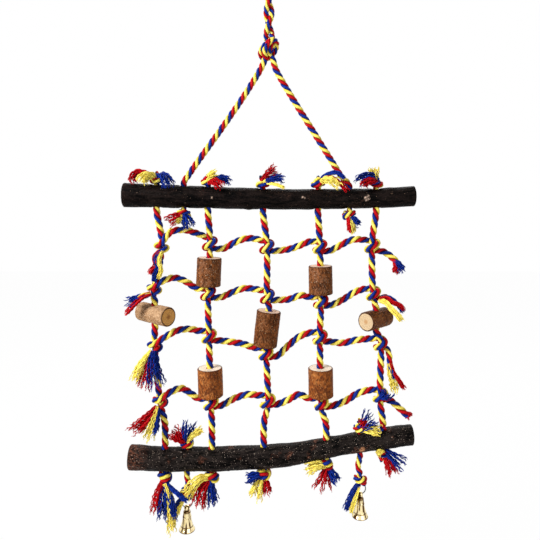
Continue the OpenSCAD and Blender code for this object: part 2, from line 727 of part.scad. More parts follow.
quick_link();
link_sleeve_nut();
hanger_rope();
hanger_knot();
hanger_leg(0, left_leg_way);  // hanger_leg_left
hanger_leg(1, right_leg_way);  // hanger_leg_right
upper_perch();
upright_top_knots();
for (row = [1 : len(folds) - 1], c = columns)
    upright_row(c, row);
for (row = [1 : len(rung_folds)])
    rung(row);
tails(rung_1_tail_ways);  // rung_1_tail
tails(rung_3_tail_ways);  // rung_3_tails
tails(rung_4_tail_ways);  // rung_4_tail
color("#5d4336") on_rope(1, resting(1, 2, block_len), tilt_reach) standing_block(block_d, block_len);  // block_upper_left
color("#6b4a38") on_rope(3, resting(3, 2, block_len), tilt_reach) standing_block(block_d, block_len);  // block_upper_right
color("#5f4032") on_rope(2, resting(2, 3, long_block_len), tilt_reach)  // block_centre
        standing_block(block_d, long_block_len);
color("#8a5a35") on_rope(1, resting(1, 4, block_len), tilt_reach) standing_block(block_d, block_len);  // block_lower_left
color("#85563a") on_rope(3, resting(3, 4, block_len), tilt_reach) standing_block(block_d, block_len);  // block_lower_right
color("#8d7a62") on_rope(0, left_block_z, tilt_reach) lying_block(left_block_len, left_block_turn);  // block_side_left
color("#86603d") on_rope(last_column, right_block_z, tilt_reach)  // block_side_right
        lying_block(right_block_len, right_block_turn);
lower_perch();
upright_bottom_knots();
bell_cord_top_knots();
bell_cord(0);  // bell_cord_left
bell_cord(1);  // bell_cord_right
jump_ring(0);  // jump_ring_left
jump_ring(1);  // jump_ring_right
bell_at(0);  // bell_left
bell_at(1);  // bell_right
clapper_at(0);  // clapper_left
clapper_at(1);  // clapper_right
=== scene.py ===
import math
import bpy
import numpy as np
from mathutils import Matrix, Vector, noise


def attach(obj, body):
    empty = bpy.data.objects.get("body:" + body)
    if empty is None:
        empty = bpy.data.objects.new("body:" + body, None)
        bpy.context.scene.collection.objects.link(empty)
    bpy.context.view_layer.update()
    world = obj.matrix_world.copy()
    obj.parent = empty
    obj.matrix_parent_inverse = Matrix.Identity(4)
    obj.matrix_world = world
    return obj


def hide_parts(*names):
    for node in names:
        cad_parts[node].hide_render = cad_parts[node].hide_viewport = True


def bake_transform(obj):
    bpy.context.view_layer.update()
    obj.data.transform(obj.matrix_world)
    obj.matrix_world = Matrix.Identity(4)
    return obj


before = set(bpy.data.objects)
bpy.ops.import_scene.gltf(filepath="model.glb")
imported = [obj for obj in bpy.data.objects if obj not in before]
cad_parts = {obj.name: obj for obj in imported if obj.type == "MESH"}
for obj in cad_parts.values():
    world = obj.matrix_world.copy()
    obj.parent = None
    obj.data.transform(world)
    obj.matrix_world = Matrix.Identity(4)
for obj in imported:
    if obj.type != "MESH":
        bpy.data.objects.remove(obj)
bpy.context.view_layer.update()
scene = bpy.context.scene
mm = 0.001
sideNames = ["left", "right"]
print("frame loaded")


def addObject(name, data):
    added = bpy.data.objects.new(name, data)
    scene.collection.objects.link(added)
    return added


# camera: level, one picture point to a millimetre on the plane of the net
cameraLook = {"across": 0.001, "back": 0.53, "height": -0.263, "shift": -75 / 540, "wide": 540 * mm,
              "sensor": 36}


def setCamera(look):
    data = bpy.data.cameras.new("pictureCamera")
    data.sensor_width = look["sensor"]
    data.lens = look["sensor"] * look["back"] / look["wide"]
    data.shift_y = look["shift"]
    data.clip_start = 0.01
    camera = addObject("pictureCamera", data)
    camera.location = (look["across"], -look["back"], look["height"])
    camera.rotation_euler = (math.pi / 2, 0, 0)
    scene.camera = camera


setCamera(cameraLook)


# small helpers for node trees: an input is a socket or a plain value
def setInputs(tree, node, inputs):
    for key, value in inputs.items():
        if isinstance(value, bpy.types.NodeSocket):
            tree.links.new(value, node.inputs[key])
        else:
            node.inputs[key].default_value = value


def addNode(tree, kind, inputs=None, **settings):
    node = tree.nodes.new(kind)
    for key, value in settings.items():
        setattr(node, key, value)
    setInputs(tree, node, inputs or {})
    return node


def makeTree(name, kind, inputs, outputs):
    # each socket has a name, a type and, where it is a number, a first value
    tree = bpy.data.node_groups.new(name, kind)
    for way, sockets in (("INPUT", inputs), ("OUTPUT", outputs)):
        for label, sort, *value in sockets:
            socket = tree.interface.new_socket(name=label, in_out=way, socket_type="NodeSocket" + sort)
            if value:
                socket.default_value = value[0]
    return tree, addNode(tree, "NodeGroupInput").outputs


def calc(tree, operation, a, b=0.0, c=0.0):
    return addNode(tree, "ShaderNodeMath", {0: a, 1: b, 2: c}, operation=operation).outputs[0]


def plus(tree, a, b):
    return calc(tree, "ADD", a, b)


def times(tree, a, b):
    return calc(tree, "MULTIPLY", a, b)


def mapped(tree, value, low, high, start=0.0, end=1.0):
    return addNode(tree, "ShaderNodeMapRange", {0: value, 1: low, 2: high, 3: start, 4: end}).outputs[0]


def vectorCalc(tree, operation, a, b=None):
    inputs = {0: a} if b is None else {0: a, 1: b}
    node = addNode(tree, "ShaderNodeVectorMath", inputs, operation=operation)
    return node.outputs["Value" if operation == "LENGTH" else "Vector"]


def scaled(tree, vector, size):
    return addNode(tree, "ShaderNodeVectorMath", {0: vector, "Scale": size},
                   operation="SCALE").outputs["Vector"]


def swung(tree, first, second, angle):
    # the way that lies at an angle from the first, towards the second
    return vectorCalc(tree, "ADD", scaled(tree, first, calc(tree, "COSINE", angle)),
                      scaled(tree, second, calc(tree, "SINE", angle)))


def splitUp(tree, vector):
    return addNode(tree, "ShaderNodeSeparateXYZ", {0: vector}).outputs


def joinUp(tree, x, y, z):
    return addNode(tree, "ShaderNodeCombineXYZ", {0: x, 1: y, 2: z}).outputs[0]


def noiseAt(tree, place, scale, detail=2.0, roughness=0.5, output=0):
    inputs = {"Vector": place, "Scale": scale, "Detail": detail, "Roughness": roughness}
    return addNode(tree, "ShaderNodeTexNoise", inputs).outputs[output]


# materials
def readAttribute(tree, name, output="Fac"):
    return addNode(tree, "ShaderNodeAttribute", attribute_name=name).outputs[output]


def bumpOf(tree, height, strength, distance):
    inputs = {"Strength": strength, "Distance": distance, "Height": height}
    return addNode(tree, "ShaderNodeBump", inputs).outputs[0]


def mixColours(tree, share, first, second):
    # a colour is a socket, or its red, green and blue
    first, second = [(*colour, 1) if isinstance(colour, tuple) else colour for colour in (first, second)]
    return addNode(tree, "ShaderNodeMix", {"Factor": share, 6: first, 7: second}, data_type="RGBA").outputs[2]


def startMaterial(name):
    material = bpy.data.materials.new(name)
    material.use_nodes = True
    return material, material.node_tree, material.node_tree.nodes["Principled BSDF"]


# a noise is given as its scale, detail and roughness; a span as its start and end, and what it gives there.
# the scale of the fibres comes from the group's own input
yarnLook = {"twist": 0.16, "stretch": 0.07, "fibres": (3.0, 0.6), "clumps": 1.6, "fibreShare": 0.7,
            "clumpShare": 0.3, "depth": 0.4 * mm}
# where a painted highlight falls on each strand's top, and how dark the painted shade in the grooves between
# strands is
strandLook = {"spread": (0.3, 0.62), "crown": (0.02, 0.35, 0.75, 0.0), "paintedGrooveShade": (0.15, 0.85, 1.0, 0.12),
              "toneShare": 0.5, "gloss": 0.08}


def makeYarnRelief(look):
    # fibres that run along a strand, as a tone and a bumped normal
    tree, source = makeTree("yarnRelief", "ShaderNodeTree",
                            [("Fibre Scale", "Float", 5.0), ("Bump", "Float", 0.5)],
                            [("Tone", "Float"), ("Valley", "Float"), ("Normal", "Vector")])
    x, y = splitUp(tree, readAttribute(tree, "side", "Vector"))[:2]
    run = readAttribute(tree, "run")
    # the fibres turn round their strand against the rope's own lay
    angle = times(tree, run, look["twist"])
    sine, cosine = calc(tree, "SINE", angle), calc(tree, "COSINE", angle)
    place = joinUp(tree, calc(tree, "SUBTRACT", times(tree, x, cosine), times(tree, y, sine)),
                   plus(tree, times(tree, x, sine), times(tree, y, cosine)),
                   times(tree, run, look["stretch"]))
    fibre = noiseAt(tree, place, source["Fibre Scale"], *look["fibres"])
    clump = noiseAt(tree, place, look["clumps"])
    addNode(tree, "NodeGroupOutput", {
        "Tone": plus(tree, times(tree, fibre, look["fibreShare"]), times(tree, clump, look["clumpShare"])),
        "Valley": readAttribute(tree, "valley"),
        "Normal": bumpOf(tree, fibre, source["Bump"], look["depth"])})
    return tree


yarnRelief = makeYarnRelief(yarnLook)
# each dye's first colour is painted on the strands' tops as a highlight
strandDyes = {
    "Red": {"crown": (0.56, 0.003, 0.008), "lit": (0.44, 0.002, 0.006), "deep": (0.17, 0.001, 0.003),
            "shine": 0.5},
    "Blue": {"crown": (0.006, 0.035, 0.34), "lit": (0.003, 0.020, 0.22), "deep": (0.001, 0.004, 0.06),
             "shine": 0.5},
    "Yellow": {"crown": (1.0, 0.90, 0.24), "lit": (0.90, 0.73, 0.08), "deep": (0.72, 0.46, 0.012), "shine": 0.55},
}
hueNames = list(strandDyes)


def strandMaterial(name, dye, look):
    material, tree, shader = startMaterial("rope" + name)
    relief = addNode(tree, "ShaderNodeGroup", node_tree=yarnRelief).outputs
    spread = mapped(tree, relief["Tone"], *look["spread"])
    colour = mixColours(tree, spread, dye["deep"], dye["lit"])
    # the top of each strand is painted towards a paler colour: a painted highlight
    crown = mapped(tree, relief["Valley"], *look["crown"])
    colour = mixColours(tree, times(tree, crown, spread), colour, dye["crown"])
    # threads at a loose end differ a little in brightness, and the grooves between the strands are darkened:
    # painted shade
    tone = calc(tree, "MULTIPLY_ADD", readAttribute(tree, "tone"), look["toneShare"], 1.0)
    paintedGrooveShade = mapped(tree, relief["Valley"], *look["paintedGrooveShade"])
    setInputs(tree, shader, {
        "Base Color": scaled(tree, colour, times(tree, tone, paintedGrooveShade)), "Normal": relief["Normal"],
        "Roughness": dye["shine"], "Specular IOR Level": look["gloss"]})
    return material


strandMaterials = {name: strandMaterial(name, dye, strandLook) for name, dye in strandDyes.items()}

# what most barks share, and each bark's own; the warm patches are partly painted sheen, and warmEnd is where the
# left end turns warm
barkBase = {"rough": 0.6, "gloss": 0.08, "rubbedAndSheen": (0.46, 0.56), "warmEnd": (-150, -140), "pits": 0.75}
barkLooks = {
    "perchUpper": {"dark": (0.0005, 0.0004, 0.0004), "mid": (0.011, 0.007, 0.006), "pale": (0.34, 0.22, 0.15),
                   "warm": (0.035, 0.018, 0.013), "knot": (0.62, 0.44, 0.34), "specks": 0.12, "speckSize": 0.10,
                   "rough": 0.42, "gloss": 0.03, "rubbedAndSheen": (0.6, 0.75)},
    "perchLower": {"dark": (0.0008, 0.0006, 0.0005), "mid": (0.021, 0.0155, 0.0135), "pale": (0.50, 0.40, 0.32),
                   "warm": (0.20, 0.068, 0.036), "knot": (0.46, 0.21, 0.10), "specks": 0.9, "speckSize": 0.105,
                   "rough": 0.42, "gloss": 0.03, "rubbedAndSheen": (0.62, 0.76), "warmEnd": (-138, -118), "pits": 0.6},
    "blockDark": {"dark": (0.045, 0.013, 0.003), "mid": (0.235, 0.078, 0.022), "pale": (0.60, 0.44, 0.30),
                  "warm": (0.24, 0.105, 0.052), "specks": 0.9, "speckSize": 0.12},
    "blockRed": {"dark": (0.045, 0.012, 0.002), "mid": (0.205, 0.062, 0.015), "pale": (0.55, 0.36, 0.20),
                 "warm": (0.22, 0.088, 0.034), "specks": 0.9, "speckSize": 0.115},
    "blockOrange": {"dark": (0.09, 0.021, 0.004), "mid": (0.35, 0.098, 0.016), "pale": (0.62, 0.34, 0.14),
                    "warm": (0.44, 0.17, 0.045), "specks": 0.6, "speckSize": 0.11, "rough": 0.55, "gloss": 0.10,
                    "rubbedAndSheen": (0.48, 0.6)},
    "blockGrey": {"dark": (0.25, 0.135, 0.065), "mid": (0.43, 0.265, 0.145), "pale": (0.76, 0.60, 0.44),
                  "warm": (0.52, 0.34, 0.2), "specks": 0.75, "speckSize": 0.12, "rough": 0.75, "gloss": 0.06,
                  "rubbedAndSheen": (0.6, 0.75)},
}
grainLooks = {
    "Upper": {"pale": (0.42, 0.26, 0.15), "ring": (0.20, 0.10, 0.05), "heart": (0.12, 0.055, 0.03), "rim": 0.88},
    "Lower": {"pale": (0.30, 0.13, 0.07), "ring": (0.16, 0.06, 0.03), "heart": (0.10, 0.035, 0.02), "rim": 0.88},
    "Cream": {"pale": (0.86, 0.76, 0.64), "ring": (0.70, 0.54, 0.40), "heart": (0.50, 0.30, 0.15), "rim": 0.93},
    "Pink": {"pale": (0.82, 0.64, 0.50), "ring": (0.58, 0.36, 0.25), "heart": (0.34, 0.16, 0.10), "rim": 0.92},
    "Fresh": {"pale": (0.58, 0.44, 0.27), "ring": (0.48, 0.33, 0.185), "heart": (0.42, 0.22, 0.09), "rim": 0.90},
    "Tan": {"pale": (0.62, 0.33, 0.095), "ring": (0.46, 0.22, 0.06), "heart": (0.26, 0.10, 0.028), "rim": 0.88},
}


def makeSpecks():
    # round spots, one in some of the cells of a grid
    tree, source = makeTree("barkSpecks", "ShaderNodeTree",
                            [("Place", "Vector"), ("Cells", "Float", 0.3), ("Size", "Float", 0.12),
                             ("Share", "Float", 0.5)], [("Mask", "Float")])
    cell = addNode(tree, "ShaderNodeTexVoronoi", {"Vector": source["Place"], "Scale": source["Cells"]}).outputs
    chosen = addNode(tree, "ShaderNodeSeparateColor", {0: cell["Color"]}).outputs
    size = times(tree, source["Size"], calc(tree, "MULTIPLY_ADD", chosen[1], 1.1, 0.45))
    dot = calc(tree, "SUBTRACT", 1.0, calc(tree, "DIVIDE", cell["Distance"], size))
    dot = addNode(tree, "ShaderNodeClamp", {0: times(tree, dot, 2.5)}).outputs[0]
    mask = times(tree, dot, calc(tree, "LESS_THAN", chosen[0], source["Share"]))
    addNode(tree, "NodeGroupOutput", {"Mask": mask})
    return tree


barkSpecks = makeSpecks()
# how every bark is patterned; spots have cells, size and share, and pores come in two sizes
barkPattern = {
    "stretch": (0.5, 1.0, 1.0), "broad": (0.16, 4.0, 0.6), "fine": (0.9, 6.0, 0.65), "patch": 0.07,
    "shares": (0.5, 0.6, 0.2), "ramp": (0.42, 0.68), "crest": (0.46, 0.6), "end": (0.8, 0.0),
    "pits": (0.85, 0.34, 0.6), "pitShift": (7.0, 3.0, 5.0), "pores": ((0.34, 1.0), (0.75, 0.8)), "poreShare": 0.8,
    "broken": (0.38, 0.52), "edgeShare": 0.7, "wornAndSheen": (0.3, 0.7), "smoother": 0.12, "rougher": 0.15,
    "bump": (0.7, 0.8 * mm),
}


def barkMaterial(name, look, pattern):
    # place is a point on the log in millimetres: along it, and its two sides
    material, tree, shader = startMaterial(name + "Bark")
    place = readAttribute(tree, "place", "Vector")
    stretched = vectorCalc(tree, "MULTIPLY", place, pattern["stretch"])
    broad = noiseAt(tree, stretched, *pattern["broad"])
    fine = noiseAt(tree, stretched, *pattern["fine"])
    patch = noiseAt(tree, place, pattern["patch"])

    def spots(where, cells, size, share):
        inputs = {"Place": where, "Cells": cells, "Size": size, "Share": share}
        return addNode(tree, "ShaderNodeGroup", inputs, node_tree=barkSpecks).outputs["Mask"]

    broadShare, fineShare, paintedReliefShadeShare = pattern["shares"]
    amount = plus(tree, times(tree, broad, broadShare), times(tree, fine, fineShare))
    # the ridges of the bark's own relief are painted lighter and its furrows darker: painted highlight and shade
    amount = plus(tree, amount, times(tree, readAttribute(tree, "relief"), paintedReliefShadeShare))
    colour = mixColours(tree, mapped(tree, amount, *pattern["ramp"]), look["dark"], look["mid"])
    # warm colour on the crests of the fine relief, in patches and at the left end: the left end is the bark's own
    # warmer colour, the patches partly rubbed skin and partly painted sheen
    end = mapped(tree, splitUp(tree, place)[0], *look["warmEnd"], *pattern["end"])
    wornAndSheen = calc(tree, "MAXIMUM", mapped(tree, patch, *look["rubbedAndSheen"]), end)
    colour = mixColours(tree, times(tree, wornAndSheen, mapped(tree, fine, *pattern["crest"])), colour, look["warm"])
    pits = spots(vectorCalc(tree, "ADD", stretched, pattern["pitShift"]), *pattern["pits"])
    colour = mixColours(tree, times(tree, pits, look["pits"]), colour, look["dark"])
    for cells, share in pattern["pores"]:
        size = look["speckSize"] * (cells / pattern["pores"][0][0]) ** 0.5
        pores = spots(place, cells, size, look["specks"] * share)
        colour = mixColours(tree, times(tree, pores, pattern["poreShare"]), colour, look["pale"])
    if "knot" in look:
        broken = mapped(tree, fine, *pattern["broken"])
        colour = mixColours(tree, times(tree, readAttribute(tree, "scar"), broken), colour, look["knot"])
    edge = times(tree, readAttribute(tree, "edge"), pattern["edgeShare"])
    colour = mixColours(tree, edge, colour, look["dark"])
    rough = mapped(tree, fine, *pattern["wornAndSheen"], look["rough"] - pattern["smoother"],
                   look["rough"] + pattern["rougher"])
    setInputs(tree, shader, {
        "Base Color": colour, "Roughness": rough, "Specular IOR Level": look["gloss"],
        "Normal": bumpOf(tree, fine, *pattern["bump"])})
    return material


grainPattern = {
    "wobble": 0.22, "wobbleSize": 2.6, "rings": 4.2, "ringShare": 0.22, "fibre": (2.2, 5.0, 0.7),
    "fibreShare": 0.9, "ramp": (0.15, 0.75), "core": (0.16, 0.32, 0.8, 0.0), "rimWide": 0.04,
    "rimColour": (0.05, 0.018, 0.008), "rough": 0.8, "gloss": 0.1, "bump": (0.35, 0.4 * mm),
}


def grainMaterial(name, look, pattern):
    # sawn ends: year rings round the heart, a darker heart and bark at the rim
    material, tree, shader = startMaterial("sawn" + name)
    place = readAttribute(tree, "place", "Vector")
    flat = vectorCalc(tree, "MULTIPLY", place, (0.0, 1.0, 1.0))
    wobble = noiseAt(tree, flat, pattern["wobble"])
    distance = calc(tree, "MULTIPLY_ADD", wobble, pattern["wobbleSize"], vectorCalc(tree, "LENGTH", flat))
    rings = calc(tree, "SINE", times(tree, distance, pattern["rings"]))
    fibre = times(tree, noiseAt(tree, place, *pattern["fibre"]), pattern["fibreShare"])
    amount = calc(tree, "MULTIPLY_ADD", rings, pattern["ringShare"], fibre)
    share, rim = readAttribute(tree, "heart"), look["rim"]
    colour = mixColours(tree, mapped(tree, amount, *pattern["ramp"]), look["ring"], look["pale"])
    colour = mixColours(tree, mapped(tree, share, *pattern["core"]), colour, look["heart"])
    colour = mixColours(tree, mapped(tree, share, rim, rim + pattern["rimWide"]), colour,
                        pattern["rimColour"])
    setInputs(tree, shader, {
        "Base Color": colour, "Roughness": pattern["rough"], "Specular IOR Level": pattern["gloss"],
        "Normal": bumpOf(tree, amount, *pattern["bump"])})
    return material


metalPattern = {"drop": 30.0, "dull": (260.0, 3.0), "fine": 700.0, "fineStretch": 9.0, "wornAndSheen": (0.35, 0.7),
                "line": (0.12, 1.0), "depth": 0.05 * mm}


def metalMaterial(name, look, pattern, middle=0, top=0):
    # dark streaks run down the piece round its own upright axis, at middle along X: a painted reflection of dark
    # surroundings
    material, tree, shader = startMaterial(name)
    place = addNode(tree, "ShaderNodeTexCoord").outputs["Object"]
    own = vectorCalc(tree, "SUBTRACT", place, (middle * mm, 0, 0))
    around = vectorCalc(tree, "NORMALIZE", vectorCalc(tree, "MULTIPLY", own, (1.0, 1.0, 0.0)))
    down = vectorCalc(tree, "MULTIPLY", own, (0.0, 0.0, pattern["drop"]))
    streak = noiseAt(tree, vectorCalc(tree, "ADD", around, down), look["streaks"])
    dull = noiseAt(tree, place, *pattern["dull"])
    fine = noiseAt(tree, vectorCalc(tree, "MULTIPLY", place, (1.0, 1.0, pattern["fineStretch"])),
                   pattern["fine"])
    clean = mapped(tree, streak, *look["tarnishAndReflectionAt"])
    # dark lines round the piece, each at a depth below its top and with half its width
    height = splitUp(tree, place)[2]
    for below, half in look.get("lines", ()):
        gap = calc(tree, "ABSOLUTE", calc(tree, "SUBTRACT", height, (top - below) * mm))
        clean = times(tree, clean, mapped(tree, gap, half * 0.5 * mm, half * mm, *pattern["line"]))
    rough = mapped(tree, dull, *pattern["wornAndSheen"], look["rough"], look["rough"] + look["wear"])
    setInputs(tree, shader, {
        "Base Color": mixColours(tree, clean, look["tarnishAndReflection"], look["clean"]), "Metallic": 1.0,
        "Roughness": rough, "Normal": bumpOf(tree, fine, look["scratch"], pattern["depth"])})
    return material


barkMaterials = {name: barkMaterial(name, {**barkBase, **look}, barkPattern)
                 for name, look in barkLooks.items()}
grainMaterials = {name: grainMaterial(name, look, grainPattern) for name, look in grainLooks.items()}
# each metal's dark colour makes the painted reflection streaks, and the bell's dark lines
metalLooks = {
    "bellBrass": {"clean": (0.98, 0.82, 0.46), "tarnishAndReflection": (0.10, 0.045, 0.012), "rough": 0.09, "wear": 0.12,
                  "scratch": 0.1, "streaks": 2.1, "tarnishAndReflectionAt": (0.44, 0.50),
                  "lines": ((0.6, 1.5), (14.6, 0.6), (18.6, 0.5))},
    "ringSteel": {"clean": (0.30, 0.29, 0.28), "tarnishAndReflection": (0.10, 0.10, 0.09), "rough": 0.2, "wear": 0.15,
                  "scratch": 0.15, "streaks": 2.0, "tarnishAndReflectionAt": (0.4, 0.6)},
    "linkZinc": {"clean": (0.60, 0.61, 0.63), "tarnishAndReflection": (0.40, 0.41, 0.43), "rough": 0.24, "wear": 0.16,
                 "scratch": 0.25, "streaks": 3.0, "tarnishAndReflectionAt": (0.4, 0.6)},
}
print("materials ready")


# node trees that make ropes and loose ends
def namedField(tree, name, kind="FLOAT"):
    return addNode(tree, "GeometryNodeInputNamedAttribute", {0: name}, data_type=kind).outputs[0]


def storeField(tree, geometry, name, value, kind="FLOAT"):
    return addNode(tree, "GeometryNodeStoreNamedAttribute", {0: geometry, 2: name, 3: value},
                   data_type=kind, domain="POINT").outputs[0]


def sweepRound(tree, line, ring, size):
    inputs = {0: line, 1: ring, "Scale": size, "Fill Caps": True}
    return addNode(tree, "GeometryNodeCurveToMesh", inputs).outputs[0]


def dyeByHue(tree, geometry, source):
    # the end of both trees: real geometry, and a material for each of the three hues
    smooth = addNode(tree, "GeometryNodeSetShadeSmooth", {0: geometry}).outputs[0]
    mesh = addNode(tree, "GeometryNodeRealizeInstances", {0: smooth}).outputs[0]
    for k, name in enumerate(hueNames):
        chosen = calc(tree, "COMPARE", namedField(tree, "hue"), float(k), 0.1)
        mesh = addNode(tree, "GeometryNodeSetMaterial", {0: mesh, 1: chosen, 2: source[name]}).outputs[0]
    addNode(tree, "NodeGroupOutput", {0: mesh})


hueInputs = [(name, "Material") for name in hueNames]


def makeRopeTree():
    # three strands laid round a line; the line carries its own frame, turn and girth
    tree, source = makeTree("laidRope", "GeometryNodeTree", [
        ("Line", "Geometry"), ("Strand Radius", "Float", 1.75 * mm), ("Lay Radius", "Float", 1.8 * mm),
        ("Strand Sides", "Int", 12), *hueInputs], [("Rope", "Geometry")])
    line = addNode(tree, "GeometryNodeMeshToCurve", {0: source["Line"]}).outputs[0]
    across, over = namedField(tree, "across", "FLOAT_VECTOR"), namedField(tree, "over", "FLOAT_VECTOR")
    turn, girth = namedField(tree, "turn"), namedField(tree, "girth")
    here = addNode(tree, "GeometryNodeInputPosition").outputs[0]
    line = storeField(tree, line, "axis", here, "FLOAT_VECTOR")
    ring = addNode(tree, "GeometryNodeCurvePrimitiveCircle", {0: source["Strand Sides"], 4: 1.0}).outputs[0]
    ring = storeField(tree, ring, "side", here, "FLOAT_VECTOR")
    strands = addNode(tree, "GeometryNodeJoinGeometry")
    for k in range(3):
        away = swung(tree, across, over, plus(tree, turn, k * math.tau / 3))
        away = scaled(tree, away, times(tree, source["Lay Radius"], girth))
        moved = addNode(tree, "GeometryNodeSetPosition", {0: line, 3: away}).outputs[0]
        strand = sweepRound(tree, moved, ring, times(tree, source["Strand Radius"], girth))
        tree.links.new(storeField(tree, strand, "hue", float(k)), strands.inputs[0])
    # 0 on a strand's top, 1 where it meets the next one; the strand materials paint a highlight near 0 and shade
    # near 1
    gap = vectorCalc(tree, "LENGTH",
                     vectorCalc(tree, "SUBTRACT", here, namedField(tree, "axis", "FLOAT_VECTOR")))
    reach = times(tree, plus(tree, source["Strand Radius"], source["Lay Radius"]), girth)
    valley = times(tree, calc(tree, "SUBTRACT", 1.0, calc(tree, "DIVIDE", gap, reach)), 2.0)
    dyeByHue(tree, storeField(tree, strands.outputs[0], "valley", valley), source)
    return tree


# chances are given as lowest, highest and the step of the seed that draws them
threadLook = {"yarnTone": (-0.5, 0.4, 5), "threadTone": (-0.2, 0.3, 6), "threadReach": (0.88, 1.0, 4),
              "phaseSpread": (-0.5, 0.5, 10), "waveScale": 120.0, "waveNoise": (1.0, 2.0, 0.6), "waveStart": 1.3,
              "shifts": (1.37, 0.71), "yarnWander": 1.0, "threadWander": 0.3, "foot": 1.15, "taper": 0.45}


def makeLockTree(look):
    # a loose end: threads that spread from a line to its girth, each with its own length and wave
    tree, source = makeTree("looseLock", "GeometryNodeTree", [
        ("Line", "Geometry"), ("Threads", "Int", 45), ("Yarns", "Int", 10),
                                                              ("Yarn Radius", "Float", 0.5 * mm),
        ("Thread Radius", "Float", 0.32 * mm), ("Crimp Length", "Float", 6 * mm), ("Seed", "Int", 1),
        *hueInputs],
        [("Locks", "Geometry")])
    line = addNode(tree, "GeometryNodeMeshToCurve", {0: source["Line"]}).outputs[0]
    many = addNode(tree, "GeometryNodeDuplicateElements", {0: line, "Amount": source["Threads"]},
                   domain="SPLINE")
    own = times(tree, namedField(tree, "lock"), 1000.0)
    number = plus(tree, many.outputs[1], own)
    yarn = plus(tree, calc(tree, "FLOORED_MODULO", many.outputs[1], source["Yarns"]), own)

    def chance(low, high, step, who=number):
        inputs = {2: low, 3: high, "ID": who, "Seed": plus(tree, source["Seed"], float(step))}
        return addNode(tree, "FunctionNodeRandomValue", inputs, data_type="FLOAT").outputs[1]

    tone = plus(tree, chance(*look["yarnTone"], yarn), chance(*look["threadTone"]))
    threads = storeField(tree, many.outputs[0], "tone", tone)
    reach = times(tree, chance(namedField(tree, "shortest"), 1.0, 1, yarn), chance(*look["threadReach"]))
    threads = storeField(tree, threads, "reach", reach)
    along, gone = addNode(tree, "GeometryNodeSplineParameter").outputs[:2]
    threads = storeField(tree, threads, "along", along)
    here = addNode(tree, "GeometryNodeInputPosition").outputs[0]
    normal = addNode(tree, "GeometryNodeInputNormal").outputs[0]
    tangent = addNode(tree, "GeometryNodeInputTangent").outputs[0]
    other = vectorCalc(tree, "CROSS_PRODUCT", tangent, normal)

    def sideways(angle, far):
        return scaled(tree, swung(tree, normal, other, angle), far)

    def wander(who, size):
        shift = joinUp(tree, *[times(tree, who, step) for step in look["shifts"]], source["Seed"])
        place = vectorCalc(tree, "ADD", scaled(tree, here, look["waveScale"]), shift)
        wave = vectorCalc(tree, "SUBTRACT", noiseAt(tree, place, *look["waveNoise"], output=1),
                          (0.5, 0.5, 0.5))
        bend = times(tree, namedField(tree, "wave"), calc(tree, "POWER", along, look["waveStart"]))
        return scaled(tree, wave, times(tree, bend, size))

    far = times(tree, calc(tree, "SQRT", chance(0.0, 1.0, 3, yarn)), namedField(tree, "girth"))
    inner = times(tree, calc(tree, "SQRT", chance(0.0, 1.0, 8)), source["Yarn Radius"])
    # each yarn keeps the crimp of the rope that it was laid in
    phase = plus(tree, times(tree, calc(tree, "DIVIDE", gone, source["Crimp Length"]), math.tau),
                 plus(tree, chance(0.0, math.tau, 7, yarn), chance(*look["phaseSpread"])))
    offset = sideways(phase, times(tree, namedField(tree, "crimp"), calc(tree, "SQRT", along)))
    for part in (sideways(chance(0.0, math.tau, 2, yarn), far), sideways(chance(0.0, math.tau, 9), inner),
                 wander(yarn, look["yarnWander"]), wander(number, look["threadWander"])):
        offset = vectorCalc(tree, "ADD", offset, part)
    threads = addNode(tree, "GeometryNodeSetPosition", {0: threads, 3: offset}).outputs[0]
    trim = addNode(tree, "GeometryNodeTrimCurve", {0: threads, "End": namedField(tree, "reach")},
                   mode="FACTOR")
    ring = addNode(tree, "GeometryNodeCurvePrimitiveCircle", {0: 3, 4: 1.0}).outputs[0]
    # threads thin out towards their tips
    thin = calc(tree, "SUBTRACT", look["foot"], times(tree, namedField(tree, "along"), look["taper"]))
    mesh = sweepRound(tree, trim.outputs[0], ring, times(tree, source["Thread Radius"], thin))
    dyeByHue(tree, mesh, source)
    return tree


ropeTree = makeRopeTree()
lockTree = makeLockTree(threadLook)


def storePoints(mesh, fields):
    # one value or vector for each point, under each name
    for key, values in fields.items():
        vector = np.ndim(values[0]) == 1
        attribute = mesh.attributes.new(key, "FLOAT_VECTOR" if vector else "FLOAT", "POINT")
        attribute.data.foreach_set("vector" if vector else "value", np.array(values, np.float32).ravel())


def makeLineObject(name, lines):
    points, edges, fields = [], [], {}
    for line in lines:
        first = len(points)
        points += [tuple(p) for p in line["points"]]
        edges += [(first + i, first + i + 1) for i in range(len(line["points"]) - 1)]
        for key, values in line["fields"].items():
            fields.setdefault(key, []).extend(values)
    mesh = bpy.data.meshes.new(name)
    mesh.from_pydata(points, edges, [])
    storePoints(mesh, fields)
    return addObject(name, mesh)


def bakeTree(name, lines, tree, values):
    source = makeLineObject(name + "Line", lines)
    modifier = source.modifiers.new("make", "NODES")
    modifier.node_group = tree
    named = {item.name: item.identifier for item in tree.interface.items_tree if item.in_out == "INPUT"}
    for key, value in {**values, **strandMaterials}.items():
        modifier[named[key]] = value
    ready = source.evaluated_get(bpy.context.evaluated_depsgraph_get())
    mesh = bpy.data.meshes.new_from_object(ready)
    mesh.name = name
    source.modifiers.remove(modifier)
    bpy.data.objects.remove(source)
    return addObject(name, mesh)


# lines in space, in millimetres
def lengthAlong(points):
    return np.concatenate([[0], np.cumsum(np.linalg.norm(np.diff(points, axis=0), axis=1))])


